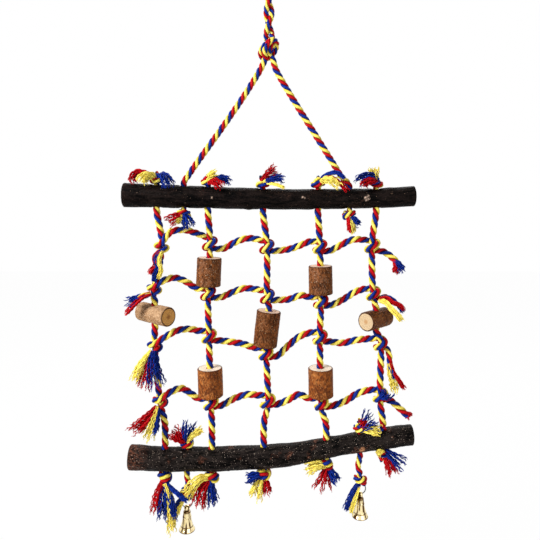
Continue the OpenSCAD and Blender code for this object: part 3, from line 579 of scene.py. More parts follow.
def smoothLine(points, step):
    # a rounded line through the points, in equal steps
    p = np.array(points, float)
    ends = np.vstack([2 * p[0] - p[1], p, 2 * p[-1] - p[-2]])
    fine = []
    for i in range(1, len(ends) - 2):
        a, b, c, d = ends[i - 1:i + 3]
        count = max(4, int(np.linalg.norm(c - b) / 0.25))
        t = np.linspace(0, 1, count, endpoint=False)[:, None]
        fine.append(0.5 * (2 * b + (c - a) * t + (2 * a - 5 * b + 4 * c - d) * t ** 2
                           + (3 * b - 3 * c + d - a) * t ** 3))
    fine = np.vstack(fine + [p[-1:]])
    gone = lengthAlong(fine)
    places = np.linspace(0, gone[-1], max(3, int(round(gone[-1] / step)) + 1))
    return np.stack([np.interp(places, gone, fine[:, k]) for k in range(3)], axis=1)


def carriedFrames(points):
    # two ways across the line at each point, carried along it without twist
    tangents = np.gradient(points, axis=0)
    tangents /= np.linalg.norm(tangents, axis=1)[:, None]
    first = np.cross(tangents[0], (0, 1, 0) if abs(tangents[0][1]) < 0.9 else (1, 0, 0))
    across = [first / np.linalg.norm(first)]
    for t in tangents[1:]:
        a = across[-1] - np.dot(across[-1], t) * t
        across.append(a / np.linalg.norm(a))
    across = np.array(across)
    return across, np.cross(tangents, across)


ropeLook = {"lay": 20.0, "strandRadius": 1.78, "layRadius": 1.80, "sides": 12, "step": 0.9}


def ropeLine(points, girth, lay=ropeLook["lay"], phase=0.0):
    # girth is a number, or a function that gives one for each point of the smooth line
    smooth = smoothLine(points, ropeLook["step"])
    across, over = carriedFrames(smooth)
    gone = lengthAlong(smooth)
    girths = girth(smooth) if callable(girth) else np.full(len(smooth), float(girth))
    turns = np.diff(gone) * math.tau / (lay * np.sqrt(girths[1:]))
    turn = phase - np.cumsum(np.concatenate([[0], turns]))
    return {"points": smooth, "across": across, "over": over, "turn": turn, "girth": girths, "run": gone}


def cutLine(line, start, end):
    return {key: values[start:end + 1] for key, values in line.items()}


def makeRope(name, lines):
    packed = [{"points": line["points"] * mm, "fields": {key: line[key] for key in line if key != "points"}}
              for line in lines]
    return bakeTree(name, packed, ropeTree, {
        "Strand Radius": ropeLook["strandRadius"] * mm, "Lay Radius": ropeLook["layRadius"] * mm,
        "Strand Sides": ropeLook["sides"]})


# a tuft is a loose end whose yarns have opened; a ply is a strand that stays together
lockLook = {"threads": 96, "yarns": 24, "yarnRadius": 0.6, "radius": 0.33, "crimpLength": 5.5, "step": 0.9,
            "tuft": {"wave": 6.5, "spread": 1.9, "shortest": 0.70, "crimp": 0.6},
            "ply": {"wave": 1.0, "spread": 1, "shortest": 0.9, "crimp": 0.25}}


def makeLocks(name, locks, seed):
    # each lock: hue, points, girth at its start and at its tip, and its kind where it is a ply
    look = lockLook
    packed = []
    for i, (hue, points, startGirth, tipGirth, *kind) in enumerate(locks):
        own = look[kind[0] if kind else "tuft"]
        smooth = smoothLine(points, look["step"])
        share = np.linspace(0, 1, len(smooth))
        wide = tipGirth * own["spread"]
        same = np.ones(len(smooth))
        packed.append({"points": smooth * mm, "fields": {
            "girth": (startGirth + (wide - startGirth) * share ** 0.9) * mm,
                                                         "hue": same * hueNames.index(hue),
            "lock": same * i, "run": share * 20, "wave": same * own["wave"] * mm,
            "crimp": same * own["crimp"] * mm, "shortest": same * own["shortest"]}})
    return bakeTree(name, packed, lockTree, {
        "Threads": look["threads"], "Yarns": look["yarns"], "Yarn Radius": look["yarnRadius"] * mm,
        "Thread Radius": look["radius"] * mm, "Crimp Length": look["crimpLength"] * mm, "Seed": seed})


# the routes of the net, as the frame has them: height and place along the perches
uprightWays = [
    [(-267, -112), (-281, -112), (-315, -107), (-357, -115), (-372, -114), (-394, -114), (-414, -114),
     (-469, -109), (-492, -104), (-526, -104)],
    [(-267, -61), (-281, -61), (-312, -59), (-362, -61), (-405, -60), (-472, -58), (-492, -57), (-526, -57)],
    [(-267, -6), (-281, -6), (-315, -2), (-365, -2), (-378, 0), (-414, -4), (-422, -3), (-470, -1),
     (-492, -5), (-526, -5)],
    [(-267, 49), (-281, 49), (-315, 51), (-370, 52), (-406, 51), (-472, 52), (-492, 57), (-526, 57)],
    [(-267, 107), (-281, 107), (-314, 103), (-362, 104), (-376, 107), (-398, 107), (-412, 112), (-464, 111),
     (-492, 114), (-526, 114)],
]
crossings = [[-315, -312, -315, -315, -314], [-357, -362, -365, -370, -362],
             [-414, -405, -422, -406, -412], [-469, -472, -470, -472, -464]]
folds = [-281.3, -314, -363, -411, -470, -492.1]
rungWays = [
    [[(-98, -3, -300), (-86, 2, -298), (-75, 5, -301)],
     [(-46, 5, -317), (-35, 4, -311), (-24, 4, -307), (-15, 5, -307)],
     [(11, 5, -319), (22, 4, -317), (33, 4, -313), (41, 5, -310)],
     [(62, 5, -319), (73, 4, -313), (84, 4, -308), (94, 5, -308)],
     [(115, 5, -320), (124, 3, -326), (129, 1, -332)]],
    [[(-105, -4.5, -348), (-95, 2, -346), (-84, 4, -350), (-73, 5, -357)],
     [(-48, 5, -366), (-37, 4, -361), (-25, 4, -357), (-14, 5, -358)],
     [(8, 5, -369), (20, 4, -368), (32, 4, -364), (41, 5, -366)],
     [(63, 5, -374), (75, 4, -368), (86, 4, -361), (95, 5, -358)],
     [(113, 5, -367), (119, 4, -366)]],
    [[(-103, -3, -404), (-92, 2, -399), (-80, 4, -398), (-71, 5, -400)],
     [(-49, 5, -410), (-38, 4, -411), (-26, 4, -413), (-15, 5, -417)],
     [(9, 5, -425), (18, 4, -416), (30, 4, -406), (41, 5, -402)],
     [(62, 5, -411), (74, 4, -412), (88, 4, -409), (101, 5, -408)],
     []],
    [[(-98, -3, -459), (-88, 2, -457), (-80, 4, -462), (-71, 5, -468.2)],
     [(-47, 5, -475), (-35, 4, -468), (-22, 4, -464), (-11, 5, -465)],
     [(9, 5, -474), (20, 4, -469), (30, 4, -464), (40, 5, -468)],
     [(63, 5, -476), (76, 4, -471), (89, 4, -463), (100, 5, -460)],
     [(122, 4, -470), (131, 2, -477), (139, 0, -484)]],
]
perchShapes = {
    "upper": {"middle": 0, "height": -267, "long": 290, "wide": 21, "table": [
        (-0.5, 0.2, 1.15), (-0.4, 0.15, 1.12), (-0.19, 0.07, 1.04), (0.07, -0.02, 0.98),
        (0.28, 0.02, 0.97), (0.39, 0.035, 0.93), (0.46, 0.09, 0.96), (0.5, 0.16, 0.98)]},
    "lower": {"middle": 2, "height": -526, "long": 282, "wide": 21.6, "table": [
        (-0.5, 0.04, 1.1), (-0.37, -0.046, 1.05), (-0.2, -0.046, 1.05), (-0.04, 0.05, 1.01), (0.07, 0.157, 1),
        (0.12, 0.29, 0.9), (0.28, 0.678, 0.875), (0.4, 0.912, 0.925), (0.48, 1.05, 0.9), (0.5, 1.09, 0.9)]},
}
bellTops = [-578.35, -565.11]  # where each bell's shoulder starts
bellHoles = [-82, 91]
legHoles = [-85, 80]


def perchAt(which, x):
    # middle height and radius of a perch
    shape = perchShapes[which]
    table = np.array(shape["table"])
    share = (np.asarray(x, float) - shape["middle"]) / shape["long"]
    lift = np.interp(share, table[:, 0], table[:, 1]) * shape["wide"]
    return shape["height"] + lift, np.interp(share, table[:, 0], table[:, 2]) * shape["wide"] / 2


def perchLevels(which, x):
    # top, middle and foot of a perch where a rope passes through it
    middle, radius = perchAt(which, x)
    return float(middle + radius), float(middle), float(middle - radius)


def uprightAt(column, height):
    way = sorted(uprightWays[column])
    return float(np.interp(height, [w[0] for w in way], [w[1] for w in way]))


# a stopper knot: the rope comes up the middle, passes round itself and tucks under
stopperTurns = [(0, 0, -7), (-0.5, 0.4, -2.8), (-1.9, -2.3, 0.4), (0.8, -4.2, 2.5), (3.9, -2.0, 2.3),
                (4.2, 2.2, 0.4), (0.6, 4.2, -1.5), (-3.6, 2.8, -2.1), (-4.5, -1.1, -1.4), (-1.5, -4.4, -1.8),
                (2.8, -3.6, -1.2), (3.2, 0.2, 2.0), (0.4, 1.9, 3.6), (-1.5, 0.9, 5.6)]


def stopperAt(x, height, spin, flip=False):
    c, s = math.cos(math.radians(spin)), math.sin(math.radians(spin))
    return [(x + (px * c - py * s), px * s + py * c, height + (-pz if flip else pz))
            for px, py, pz in stopperTurns]


def nearKnots(middles, reach, thin):
    # the rope is thin at the middle of a knot and whole at twice its reach
    middles = [np.array(m, float) for m in middles]

    def girth(points):
        near = np.min([np.linalg.norm(points - m, axis=1) for m in middles], axis=0)
        share = np.clip((near - reach) / reach, 0, 1)
        return thin + (1 - thin) * share * share * (3 - 2 * share)
    return girth


print("ready to lay the ropes")
uprightLook = {"knotGirth": 0.88, "crossGirth": 0.84, "knotOff": 5.6, "knotReach": 8, "crossReach": 6,
               "topSpins": [20, -15, 30, -25, 160], "lowSpins": [0, 40, -30, 15, 100],
               "topBend": (-279.5, -289), "lowBend": (-486.5, -496), "bendLong": 7, "bendSlack": 0.9,
               "phaseStep": 1.3}
foldOff = 5.5  # the net folds this far under each crossing


def makeUprights(look):
    reach, off = look["knotReach"], look["knotOff"]
    for c in range(5):
        x, lowX = (uprightAt(c, perchShapes[which]["height"]) for which in ("upper", "lower"))
        high = perchLevels("upper", x)[0] + off
        low = perchLevels("lower", lowX)[2] - off
        top = stopperAt(x, high, look["topSpins"][c])[::-1]
        bottom = stopperAt(lowX, low, look["lowSpins"][c], flip=True)
        between = [(way[1], 0, way[0]) for way in uprightWays[c]]
        points = top[:-1] + [(x, 0, high - reach)] + between + [(lowX, 0, low + reach)] + bottom[1:]
        crossed = [(uprightAt(c, row[c]), 0, row[c]) for row in crossings]
        knots = nearKnots([(x, 0, high), (lowX, 0, low)], reach, look["knotGirth"])
        pressed = nearKnots(crossed, look["crossReach"], look["crossGirth"])
        line = ropeLine(points, lambda p: np.minimum(knots(p), pressed(p)), phase=c * look["phaseStep"])
        bends = [look["topBend"]]
        for row in range(4):
            start = crossings[row][c] - foldOff
            slack = look["bendSlack"] * max(0, folds[row + 1] - crossings[row][c])
            bends.append((start, start - look["bendLong"] - slack))
        bends.append(look["lowBend"])
        # the rope is cut into one piece for each row, just below each bend
        heights = line["points"][:, 2]
        main = np.where(heights < high - 7)[0][0]
        cuts = [0] + [main + int(np.argmin(np.abs(heights[main:] - (end - 0.7))))
                      for start, end in bends[:-1]]
        cuts.append(len(heights) - 1)
        for k, (start, end) in enumerate(bends):
            piece = makeRope(f"uprightRope{c + 1}_{k + 1}", [cutLine(line, cuts[k], cuts[k + 1])])
            nodes = [f"upright_{c + 1}_row_{k}"] if k else ["upright_top_knots"]
            if k == 5:
                nodes.append("upright_bottom_knots")
            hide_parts(*nodes)
            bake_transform(piece)


makeUprights(uprightLook)
print("uprights laid")

rungLook = {"turnRadius": 4.9, "rise": 4.8, "endRise": 2.8, "turnGirth": 0.92, "turnReach": 7,
            "phaseStep": 0.9}


def hitchPoints(column, row, look):
    # a full turn round an upright: behind, right, front, left, behind; the first upright's starts in front
    found = []
    for k in range(17):
        share = k / 16
        if column:
            a, lift = math.radians(90 - 360 * share), look["rise"] * math.cos(math.pi * share)
        else:
            a, lift = math.radians(360 * share - 90), look["endRise"] * (2 * share - 1)
        z = crossings[row][column] + lift
        found.append((uprightAt(column, z) + look["turnRadius"] * math.cos(a),
                      look["turnRadius"] * math.sin(a), z))
    return found


def makeRungs(look):
    lines = []
    for row in range(4):
        points = []
        for c in range(5):
            points += hitchPoints(c, row, look) + rungWays[row][c]
        crossed = [(uprightAt(c, crossings[row][c]), 0, crossings[row][c]) for c in range(5)]
        line = ropeLine(points, nearKnots(crossed, look["turnReach"], look["turnGirth"]),
                        phase=row * look["phaseStep"])
        piece = makeRope(f"rungRope{row + 1}", [line])
        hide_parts(f"rung_{row + 1}")
        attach(piece, f"net_row_{row + 1}")
        length = float(line["run"][-1])
        lines.append(length)
    return lines


rungLengths = makeRungs(rungLook)
print("rungs laid, lengths", [round(length) for length in rungLengths])

# the doubled rope over the link, the knot in it and the two legs below
hangerLook = {"wireHeight": -30, "eyeRadius": 5.1, "twinRadius": 2.85, "twinTop": -47, "twinLow": -108,
              "twinTurns": 1.35, "girth": 0.79, "lay": 16, "knotHeight": -116.5, "pairGap": 2.5,
              "legGirth": 0.92, "legLay": 17, "legSpins": (30, 200), "legKnotOff": 6.0, "legKnotGirth": 0.8}
# the overhand knot, from its top to its foot
hangerKnotTurns = [(1.5, 0, 12.5), (2.6, -1.5, 7), (-1.2, -4.0, 3.4), (-5.6, -2.2, -1.2), (-6.0, 2.2, -5.6),
                   (-1.6, 4.8, -6.2), (3.6, 3.8, -1.8), (5.6, 0.6, 3.4), (3.4, -3.8, 5.2), (-0.4, -5.4, 0.6),
                   (-2.4, -3.6, -5.4), (-0.5, -0.6, -10.5)]


def makeHanger(look):
    top, low = look["twinTop"], look["twinLow"]

    def twin(share, side):
        a = math.radians(90 * side - 360 * look["twinTurns"] * share)
        return (look["twinRadius"] * math.cos(a), look["twinRadius"] * math.sin(a), top + (low - top) * share)

    points = [twin(1 - k / 12, 1) for k in range(13)]
    for k in range(9):
        a = math.pi * k / 8
        points.append((0, look["eyeRadius"] * math.cos(a),
                       look["wireHeight"] + look["eyeRadius"] * math.sin(a)))
    points += [twin(k / 12, -1) for k in range(13)]
    line = ropeLine(points, look["girth"], lay=look["lay"])
    piece = makeRope("hangerRope", [line])
    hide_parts("hanger_rope")
    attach(piece, "hanger")
    middle = smoothLine(hangerKnotTurns, 1.0)
    across, over = carriedFrames(middle)
    angle = np.linspace(math.radians(60), math.radians(140), len(middle))[:, None]
    away = across * np.cos(angle) + over * np.sin(angle)
    pair = [ropeLine(middle + away * look["pairGap"] * side + np.array((0, 0, look["knotHeight"])),
                     look["girth"], lay=look["lay"], phase=side) for side in (-1, 1)]
    knot = makeRope("hangerKnot", pair)
    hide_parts("hanger_knot")
    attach(knot, "hanger")


makeHanger(hangerLook)
legWays = [
    [(-3.0, 0, -125.5), (-5.5, 0, -131), (-10, 0, -140), (-25, 0, -164), (-47, 0, -196), (-70, 0, -228),
     (-81, 0, -244)],
    [(2.4, 0, -124), (4.6, 0, -130), (8, 0, -140), (22, 0, -164), (42, 0, -196), (62, 0, -228),
     (72, 0, -244)],
]


def thinRopeLine(points, knots, knotGirth, girth, lay, phase=0.0):
    # a rope of one girth, a little thinner in its knots
    line = ropeLine(points, nearKnots(knots, 8, knotGirth / girth), lay=lay, phase=phase)
    line["girth"] = line["girth"] * girth
    return line


def makeLegs(look):
    for side, name in enumerate(sideNames):
        x = legHoles[side]
        top, middle, foot = perchLevels("upper", x)
        low = foot - look["legKnotOff"]
        knot = stopperAt(x, low, look["legSpins"][side], flip=True)
        points = legWays[side] + [(x, 0, top + 3), (x, 0, middle), (x, 0, low + 9)] + knot[1:]
        line = thinRopeLine(points, [(x, 0, low)], look["legKnotGirth"], look["legGirth"], look["legLay"])
        piece = makeRope(f"hangerLeg{name.capitalize()}", [line])
        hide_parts(f"hanger_leg_{name}")
        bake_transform(piece)


makeLegs(hangerLook)

cordLook = {"foldHeights": [-542.3, -523.5], "knotHeights": [-561.3, -548.0], "knotOff": 5.8, "girth": 0.88,
            "knotGirth": 0.78, "lay": 17, "lean": [1.0, -2.0], "topSpins": (80, -20), "lowSpins": (10, 60)}


def makeBellCords(look):
    for side, name in enumerate(sideNames):
        x, low, fold = bellHoles[side], look["knotHeights"][side], look["foldHeights"][side]
        top, middle = perchLevels("lower", x)[:2]
        high = top + look["knotOff"]
        over = stopperAt(x, high, look["topSpins"][side])[::-1]
        under = stopperAt(x, low, look["lowSpins"][side], flip=True)
        between = [(x, 0, high - 8), (x, 0, middle), (x, 0, fold),
                   (x + look["lean"][side], 0, (fold + low) / 2 + 1), (x, 0, low + 7.5)]
        line = thinRopeLine(over[:-1] + between + under[1:], [(x, 0, high), (x, 0, low)], look["knotGirth"],
                            look["girth"], look["lay"], phase=side + 0.4)
        piece = makeRope(f"bellCord{name.capitalize()}", [line])
        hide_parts(f"bell_cord_{name}", "bell_cord_top_knots")
        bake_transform(piece)


makeBellCords(cordLook)
print("hanger and bell cords laid")

# loose ends: hue, points, girth at the start and at the tip, in the order of uprights or sides
topLocks = [
    [("Yellow", [(-112, -3, -249), (-117, -8, -244), (-123, -11, -247), (-125, -12, -253)], 2.0, 4.0),
     ("Blue", [(-112, -2, -248), (-106, -7, -244), (-101, -11, -248), (-98, -13, -257)], 2.2, 4.6),
     ("Red", [(-114, 0, -247), (-122, -3, -242), (-131, -4, -241), (-135, -6, -247), (-131, -8, -252)], 1.8,
      2.6)],
    [("Yellow", [(-62, -2, -249), (-57, -5, -244), (-51, -5, -243)], 2.0, 3.4),
     ("Blue", [(-61, -2, -249), (-52, -5, -246), (-43, -5, -247), (-37, -8, -252)], 1.8, 2.4),
     ("Red", [(-61, -3, -251), (-54, -9, -250), (-49, -12, -253), (-46, -13, -257)], 2.0, 2.8)],
    [("Red", [(-6, -1, -249), (-1, -3, -245), (4, -4, -241), (9, -4, -237)], 3.0, 4.6),
     ("Blue", [(-5, -3, -250), (3, -7, -248), (9, -8, -247), (16, -9, -249)], 2.0, 2.6),
     ("Yellow", [(-6, -3, -251), (3, -8, -252), (10, -11, -254), (16, -12, -257)], 1.4, 1.6, "ply")],
    [("Yellow", [(50, -3, -251), (57, -9, -248), (64, -11, -250), (71, -12, -255)], 2.2, 3.0),
     ("Blue", [(50, -1, -249), (57, -4, -243), (67, -7, -241), (76, -9, -248)], 2.0, 2.6, "ply"),
     ("Red", [(50, -2, -250), (60, -9, -246), (70, -12, -252), (78, -13, -260)], 1.8, 2.6, "ply")],
    [("Blue", [(107, -2, -249), (100, -6, -245), (92, -8, -247), (86, -10, -253)], 2.2, 4.0),
     ("Yellow", [(107, -1, -248), (105, -2, -242), (104, -2, -235)], 2.4, 3.4),
     ("Red", [(107, -3, -250), (100, -9, -249), (93, -11, -252), (90, -12, -257)], 1.8, 2.8)],
]
bottomLocks = [
    [("Red", [(-106, -3, -548), (-110, -5, -560), (-113, -6, -580)], 2.4, 3.6),
     ("Blue", [(-104, -3, -548), (-103.5, -7, -564), (-103, -11, -586)], 2.6, 4.2),
     ("Blue", [(-103, -3, -549), (-92, -7, -556), (-79, -9, -565)], 2.0, 2.4, "ply"),
     ("Yellow", [(-103, -4, -549), (-97, -9, -562), (-95, -13, -577), (-95, -15, -593)], 2.4, 3.0),
     ("Blue", [(-104, -3, -550), (-98, -9, -560), (-93, -15, -571), (-91, -17, -579)], 2.0, 2.0)],
    [("Yellow", [(-60, -3, -544), (-68, -6, -543), (-77, -9, -550), (-84, -10, -560)], 2.2, 4.4),
     ("Red", [(-60, -3, -547), (-66, -6, -556), (-70, -7, -574)], 2.4, 5.0),
     ("Blue", [(-58, -3, -547), (-57, -5, -558), (-55, -5, -572)], 2.2, 4.2)],
    [("Blue", [(-7, -3, -542), (-14, -6, -541), (-24, -6, -546)], 2.2, 3.6),
     ("Yellow", [(-7, -3, -543), (-11, -6, -551), (-14, -7, -564)], 2.2, 5.0),
     ("Red", [(-6, -2, -543), (-3, -5, -550), (-2, -6, -560)], 2.0, 3.0)],
    [("Yellow", [(56, -3, -533), (47, -6, -531), (35, -6, -536)], 2.2, 4.2),
     ("Red", [(57, -3, -534), (54, -6, -543), (50, -7, -554)], 2.6, 7.0),
     ("Blue", [(58, -2, -534), (62, -5, -541), (66, -6, -549)], 2.2, 4.4)],
    [("Blue", [(115, -2, -518), (120, -5, -522), (126, -6, -527), (132, -6, -533)], 2.8, 6.0),
     ("Red", [(115, -3, -520), (119, -6, -529), (123, -6, -540)], 2.2, 4.0),
     ("Yellow", [(113, -4, -517), (110, -7, -516), (106, -8, -519)], 1.8, 1.8)],
]
legLocks = [
    [("Red", [(-86, -2, -283), (-93, -7, -286), (-101, -10, -291)], 2.2, 4.4),
     ("Yellow", [(-85, -3, -283), (-88, -7, -287), (-91, -10, -291)], 1.6, 1.6),
     ("Blue", [(-84, -3, -283), (-81, -7, -288), (-78, -11, -296)], 2.4, 4.4)],
    [("Red", [(79, -3, -283), (79, -6, -291), (80, -6, -301)], 2.0, 2.2, "ply"),
     ("Blue", [(80, -2, -283), (84, -5, -287), (90, -5, -293)], 2.0, 2.0),
     ("Yellow", [(80, -3, -284), (82, -6, -292), (83, -6, -302)], 1.8, 1.7)],
]
cordTopLocks = [
    [("Red", [(-83, -2, -509), (-89, -5, -502), (-96, -6, -494)], 2.2, 5.0),
     ("Blue", [(-82, -1, -508), (-82, -3, -500), (-80, -3, -488)], 2.2, 4.8),
     ("Yellow", [(-81, -2, -508), (-74, -5, -500), (-64, -6, -493)], 2.0, 2.4)],
    [("Blue", [(92, -1, -496), (98, -4, -490), (106, -5, -483)], 2.4, 8.0),
     ("Yellow", [(92, -2, -497), (101, -6, -496), (112, -7, -497)], 2.2, 3.8),
     ("Red", [(91, -2, -496), (93, -5, -490), (94, -6, -484)], 2.0, 2.4)],
]
ringKnotLocks = [
    [("Blue", [(-84, 0, -563), (-90, 2, -571), (-96, 3, -580)], 1.8, 1.8),
     ("Yellow", [(-84, 0, -564), (-90, 1, -575), (-95, 2, -586)], 1.6, 1.5)],
    [("Blue", [(88, -3, -551), (82, -5, -559), (75, -5, -576)], 2.0, 3.2, "ply"),
     ("Yellow", [(89, -3, -553), (85, -6, -563), (80, -6, -578)], 1.6, 2.2, "ply")],
]


def makeFray(name, locks, seed, nodes, body):
    piece = makeLocks(name, locks, seed)
    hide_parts(*nodes)
    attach(piece, body)


def makeFrays():
    for c in range(5):
        makeFray(f"topFray{c + 1}", topLocks[c], 10 + c, ["upright_top_knots"], "upper_perch")
        makeFray(f"bottomFray{c + 1}", bottomLocks[c], 20 + c, ["upright_bottom_knots"],
                 "lower_perch")
    for side, name in enumerate(sideNames):
        end = name.capitalize()
        makeFray(f"legFray{end}", legLocks[side], 30 + side, [f"hanger_leg_{name}"],
                 "upper_perch")
        makeFray(f"cordTopFray{end}", cordTopLocks[side], 40 + side, ["bell_cord_top_knots"],
                 "lower_perch")
        makeFray(f"ringKnotFray{end}", ringKnotLocks[side], 50 + side, [f"bell_cord_{name}"],
                 f"bell_cord_{name}")


makeFrays()

# rung ends: the row and side that each knot is on, and whether it hangs past the fold
rungEnds = [
    {"row": 1, "side": 0, "falls": True, "node": "rung_1_tail", "locks": [
        ("Red", [(-108, -6, -318), (-113, -7, -324), (-112, -8, -332), (-116, -9, -337), (-119, -9, -341)],
         1.9, 2.6, "ply"),
        ("Blue", [(-107, -6, -318), (-112, -8, -326), (-110, -9, -334), (-113, -9, -343), (-112, -9, -351)],
         1.9, 2.4, "ply"),
        ("Yellow", [(-106, -6, -318), (-108, -9, -328), (-106, -10, -337), (-109, -10, -346)],
         1.5, 1.8, "ply")]},
    {"row": 1, "side": 1, "falls": False, "node": "rung_1", "locks": [
        ("Blue", [(126, 1, -329), (130, -2, -333), (133, -3, -341)], 2.4, 2.6),
        ("Red", [(126, 1, -329), (127, -2, -335), (125, -3, -342)], 2.0, 2.0)]},
    {"row": 2, "side": 0, "falls": False, "node": "rung_2", "locks": [
        ("Red", [(-117, -6, -360), (-124, -9, -363), (-133, -9, -371), (-142, -9, -381)], 2.0, 2.7, "ply"),
        ("Blue", [(-117, -6, -361), (-125, -7, -363), (-134, -8, -367), (-143, -8, -369)], 1.7, 3.0),
        ("Yellow", [(-117, -6, -361), (-123, -8, -361), (-129, -9, -364)], 1.4, 1.6, "ply")]},
    {"row": 2, "side": 1, "falls": False, "node": "rung_2", "locks": [
        ("Red", [(109, -5, -366), (117, -5, -365), (122, -8, -369), (128, -9, -371), (134, -9, -377)],
         1.9, 2.4, "ply"),
        ("Blue", [(113, 4, -366), (121, 0, -366), (128, -5, -372), (133, -7, -380)], 1.6, 2.2, "ply"),
        ("Yellow", [(109, -5, -367), (115, -9, -369), (120, -14, -375), (125, -17, -380), (129, -18, -386)],
         1.9, 2.6, "ply")]},
    {"row": 3, "side": 0, "falls": True, "node": "rung_3_tails", "locks": [
        ("Blue", [(-114, -6, -417), (-114, -10, -430), (-111, -11, -453)], 3.0, 6.5),
        ("Yellow", [(-116, -6, -417), (-124, -10, -429), (-132, -10, -448)], 2.2, 4.4),
        ("Red", [(-115, -7, -417), (-119, -11, -434), (-123, -12, -455)], 1.6, 5.4)]},
    {"row": 3, "side": 1, "falls": True, "node": "rung_3_tails", "locks": [
        ("Red", [(120, -3, -429), (123, -5, -439), (128, -6, -446), (131, -5, -451), (135, -5, -456)],
         2.2, 2.6, "ply"),
        ("Yellow", [(119, -4, -430), (120, -5, -440), (123, -5, -450), (125, -5, -460)], 1.8, 2.6),
        ("Blue", [(119, -3, -430), (121, -6, -438), (124, -6, -446)], 1.6, 1.8, "ply")]},
    {"row": 4, "side": 0, "falls": True, "node": "rung_4_tail", "locks": [
        ("Red", [(-111, -6, -472), (-119, -8, -481), (-136, -9, -497)], 2.2, 4.4),
        ("Yellow", [(-110, -6, -472), (-114, -9, -486), (-121, -10, -505)], 2.2, 4.4),
        ("Blue", [(-109, -6, -473), (-110, -9, -484), (-112, -10, -500)], 1.6, 2.6)]},
    {"row": 4, "side": 1, "falls": False, "node": "rung_4", "locks": [
        ("Blue", [(111, -6, -464), (115, -9, -460), (117, -9, -455)], 2.0, 4.6),
        ("Red", [(136, 1, -482), (139, 0, -484), (141, 0, -486)], 1.8, 2.6)]},
]


def blendAtFold(piece):
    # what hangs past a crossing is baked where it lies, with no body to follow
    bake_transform(piece)


def makeRungEnds():
    for i, end in enumerate(rungEnds):
        piece = makeLocks(f"rungEnd{end['row']}{sideNames[end['side']].capitalize()}", end["locks"], 60 + i)
        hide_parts(end["node"])
        if end["falls"]:
            blendAtFold(piece)
        else:
            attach(piece, f"net_row_{end['row']}")


makeRungEnds()
# the third rung's right end is a short length of rope before it frays
thirdEndWay = [(113, 5.3, -417), (118, 3, -417), (120, -1, -423), (120, -3, -432)]
thirdEnd = makeRope("rungEnd3Rope", [ropeLine(thirdEndWay, 0.86)])
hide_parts("rung_3_tails")
blendAtFold(thirdEnd)
print("loose ends made")

# logs: the perches and the blocks, in millimetres along the log's own X
logLook = {"scarReach": 1.8, "scarFall": 1.6, "scarFace": 0.62, "holeReach": 5.6, "holeDip": 1.3, "rim": 1.5,
           "faceRings": 8, "heartHole": 0.6, "faceRough": 0.12}


def bandFaces(first, second, inward=False):
    # a band of faces between two closed loops of points
    faces = []
    for k in range(len(first)):
        n = (k + 1) % len(first)
        faces.append((first[k], second[k], second[n], first[n]) if inward
                     else (first[k], first[n], second[n], second[k]))
    return faces


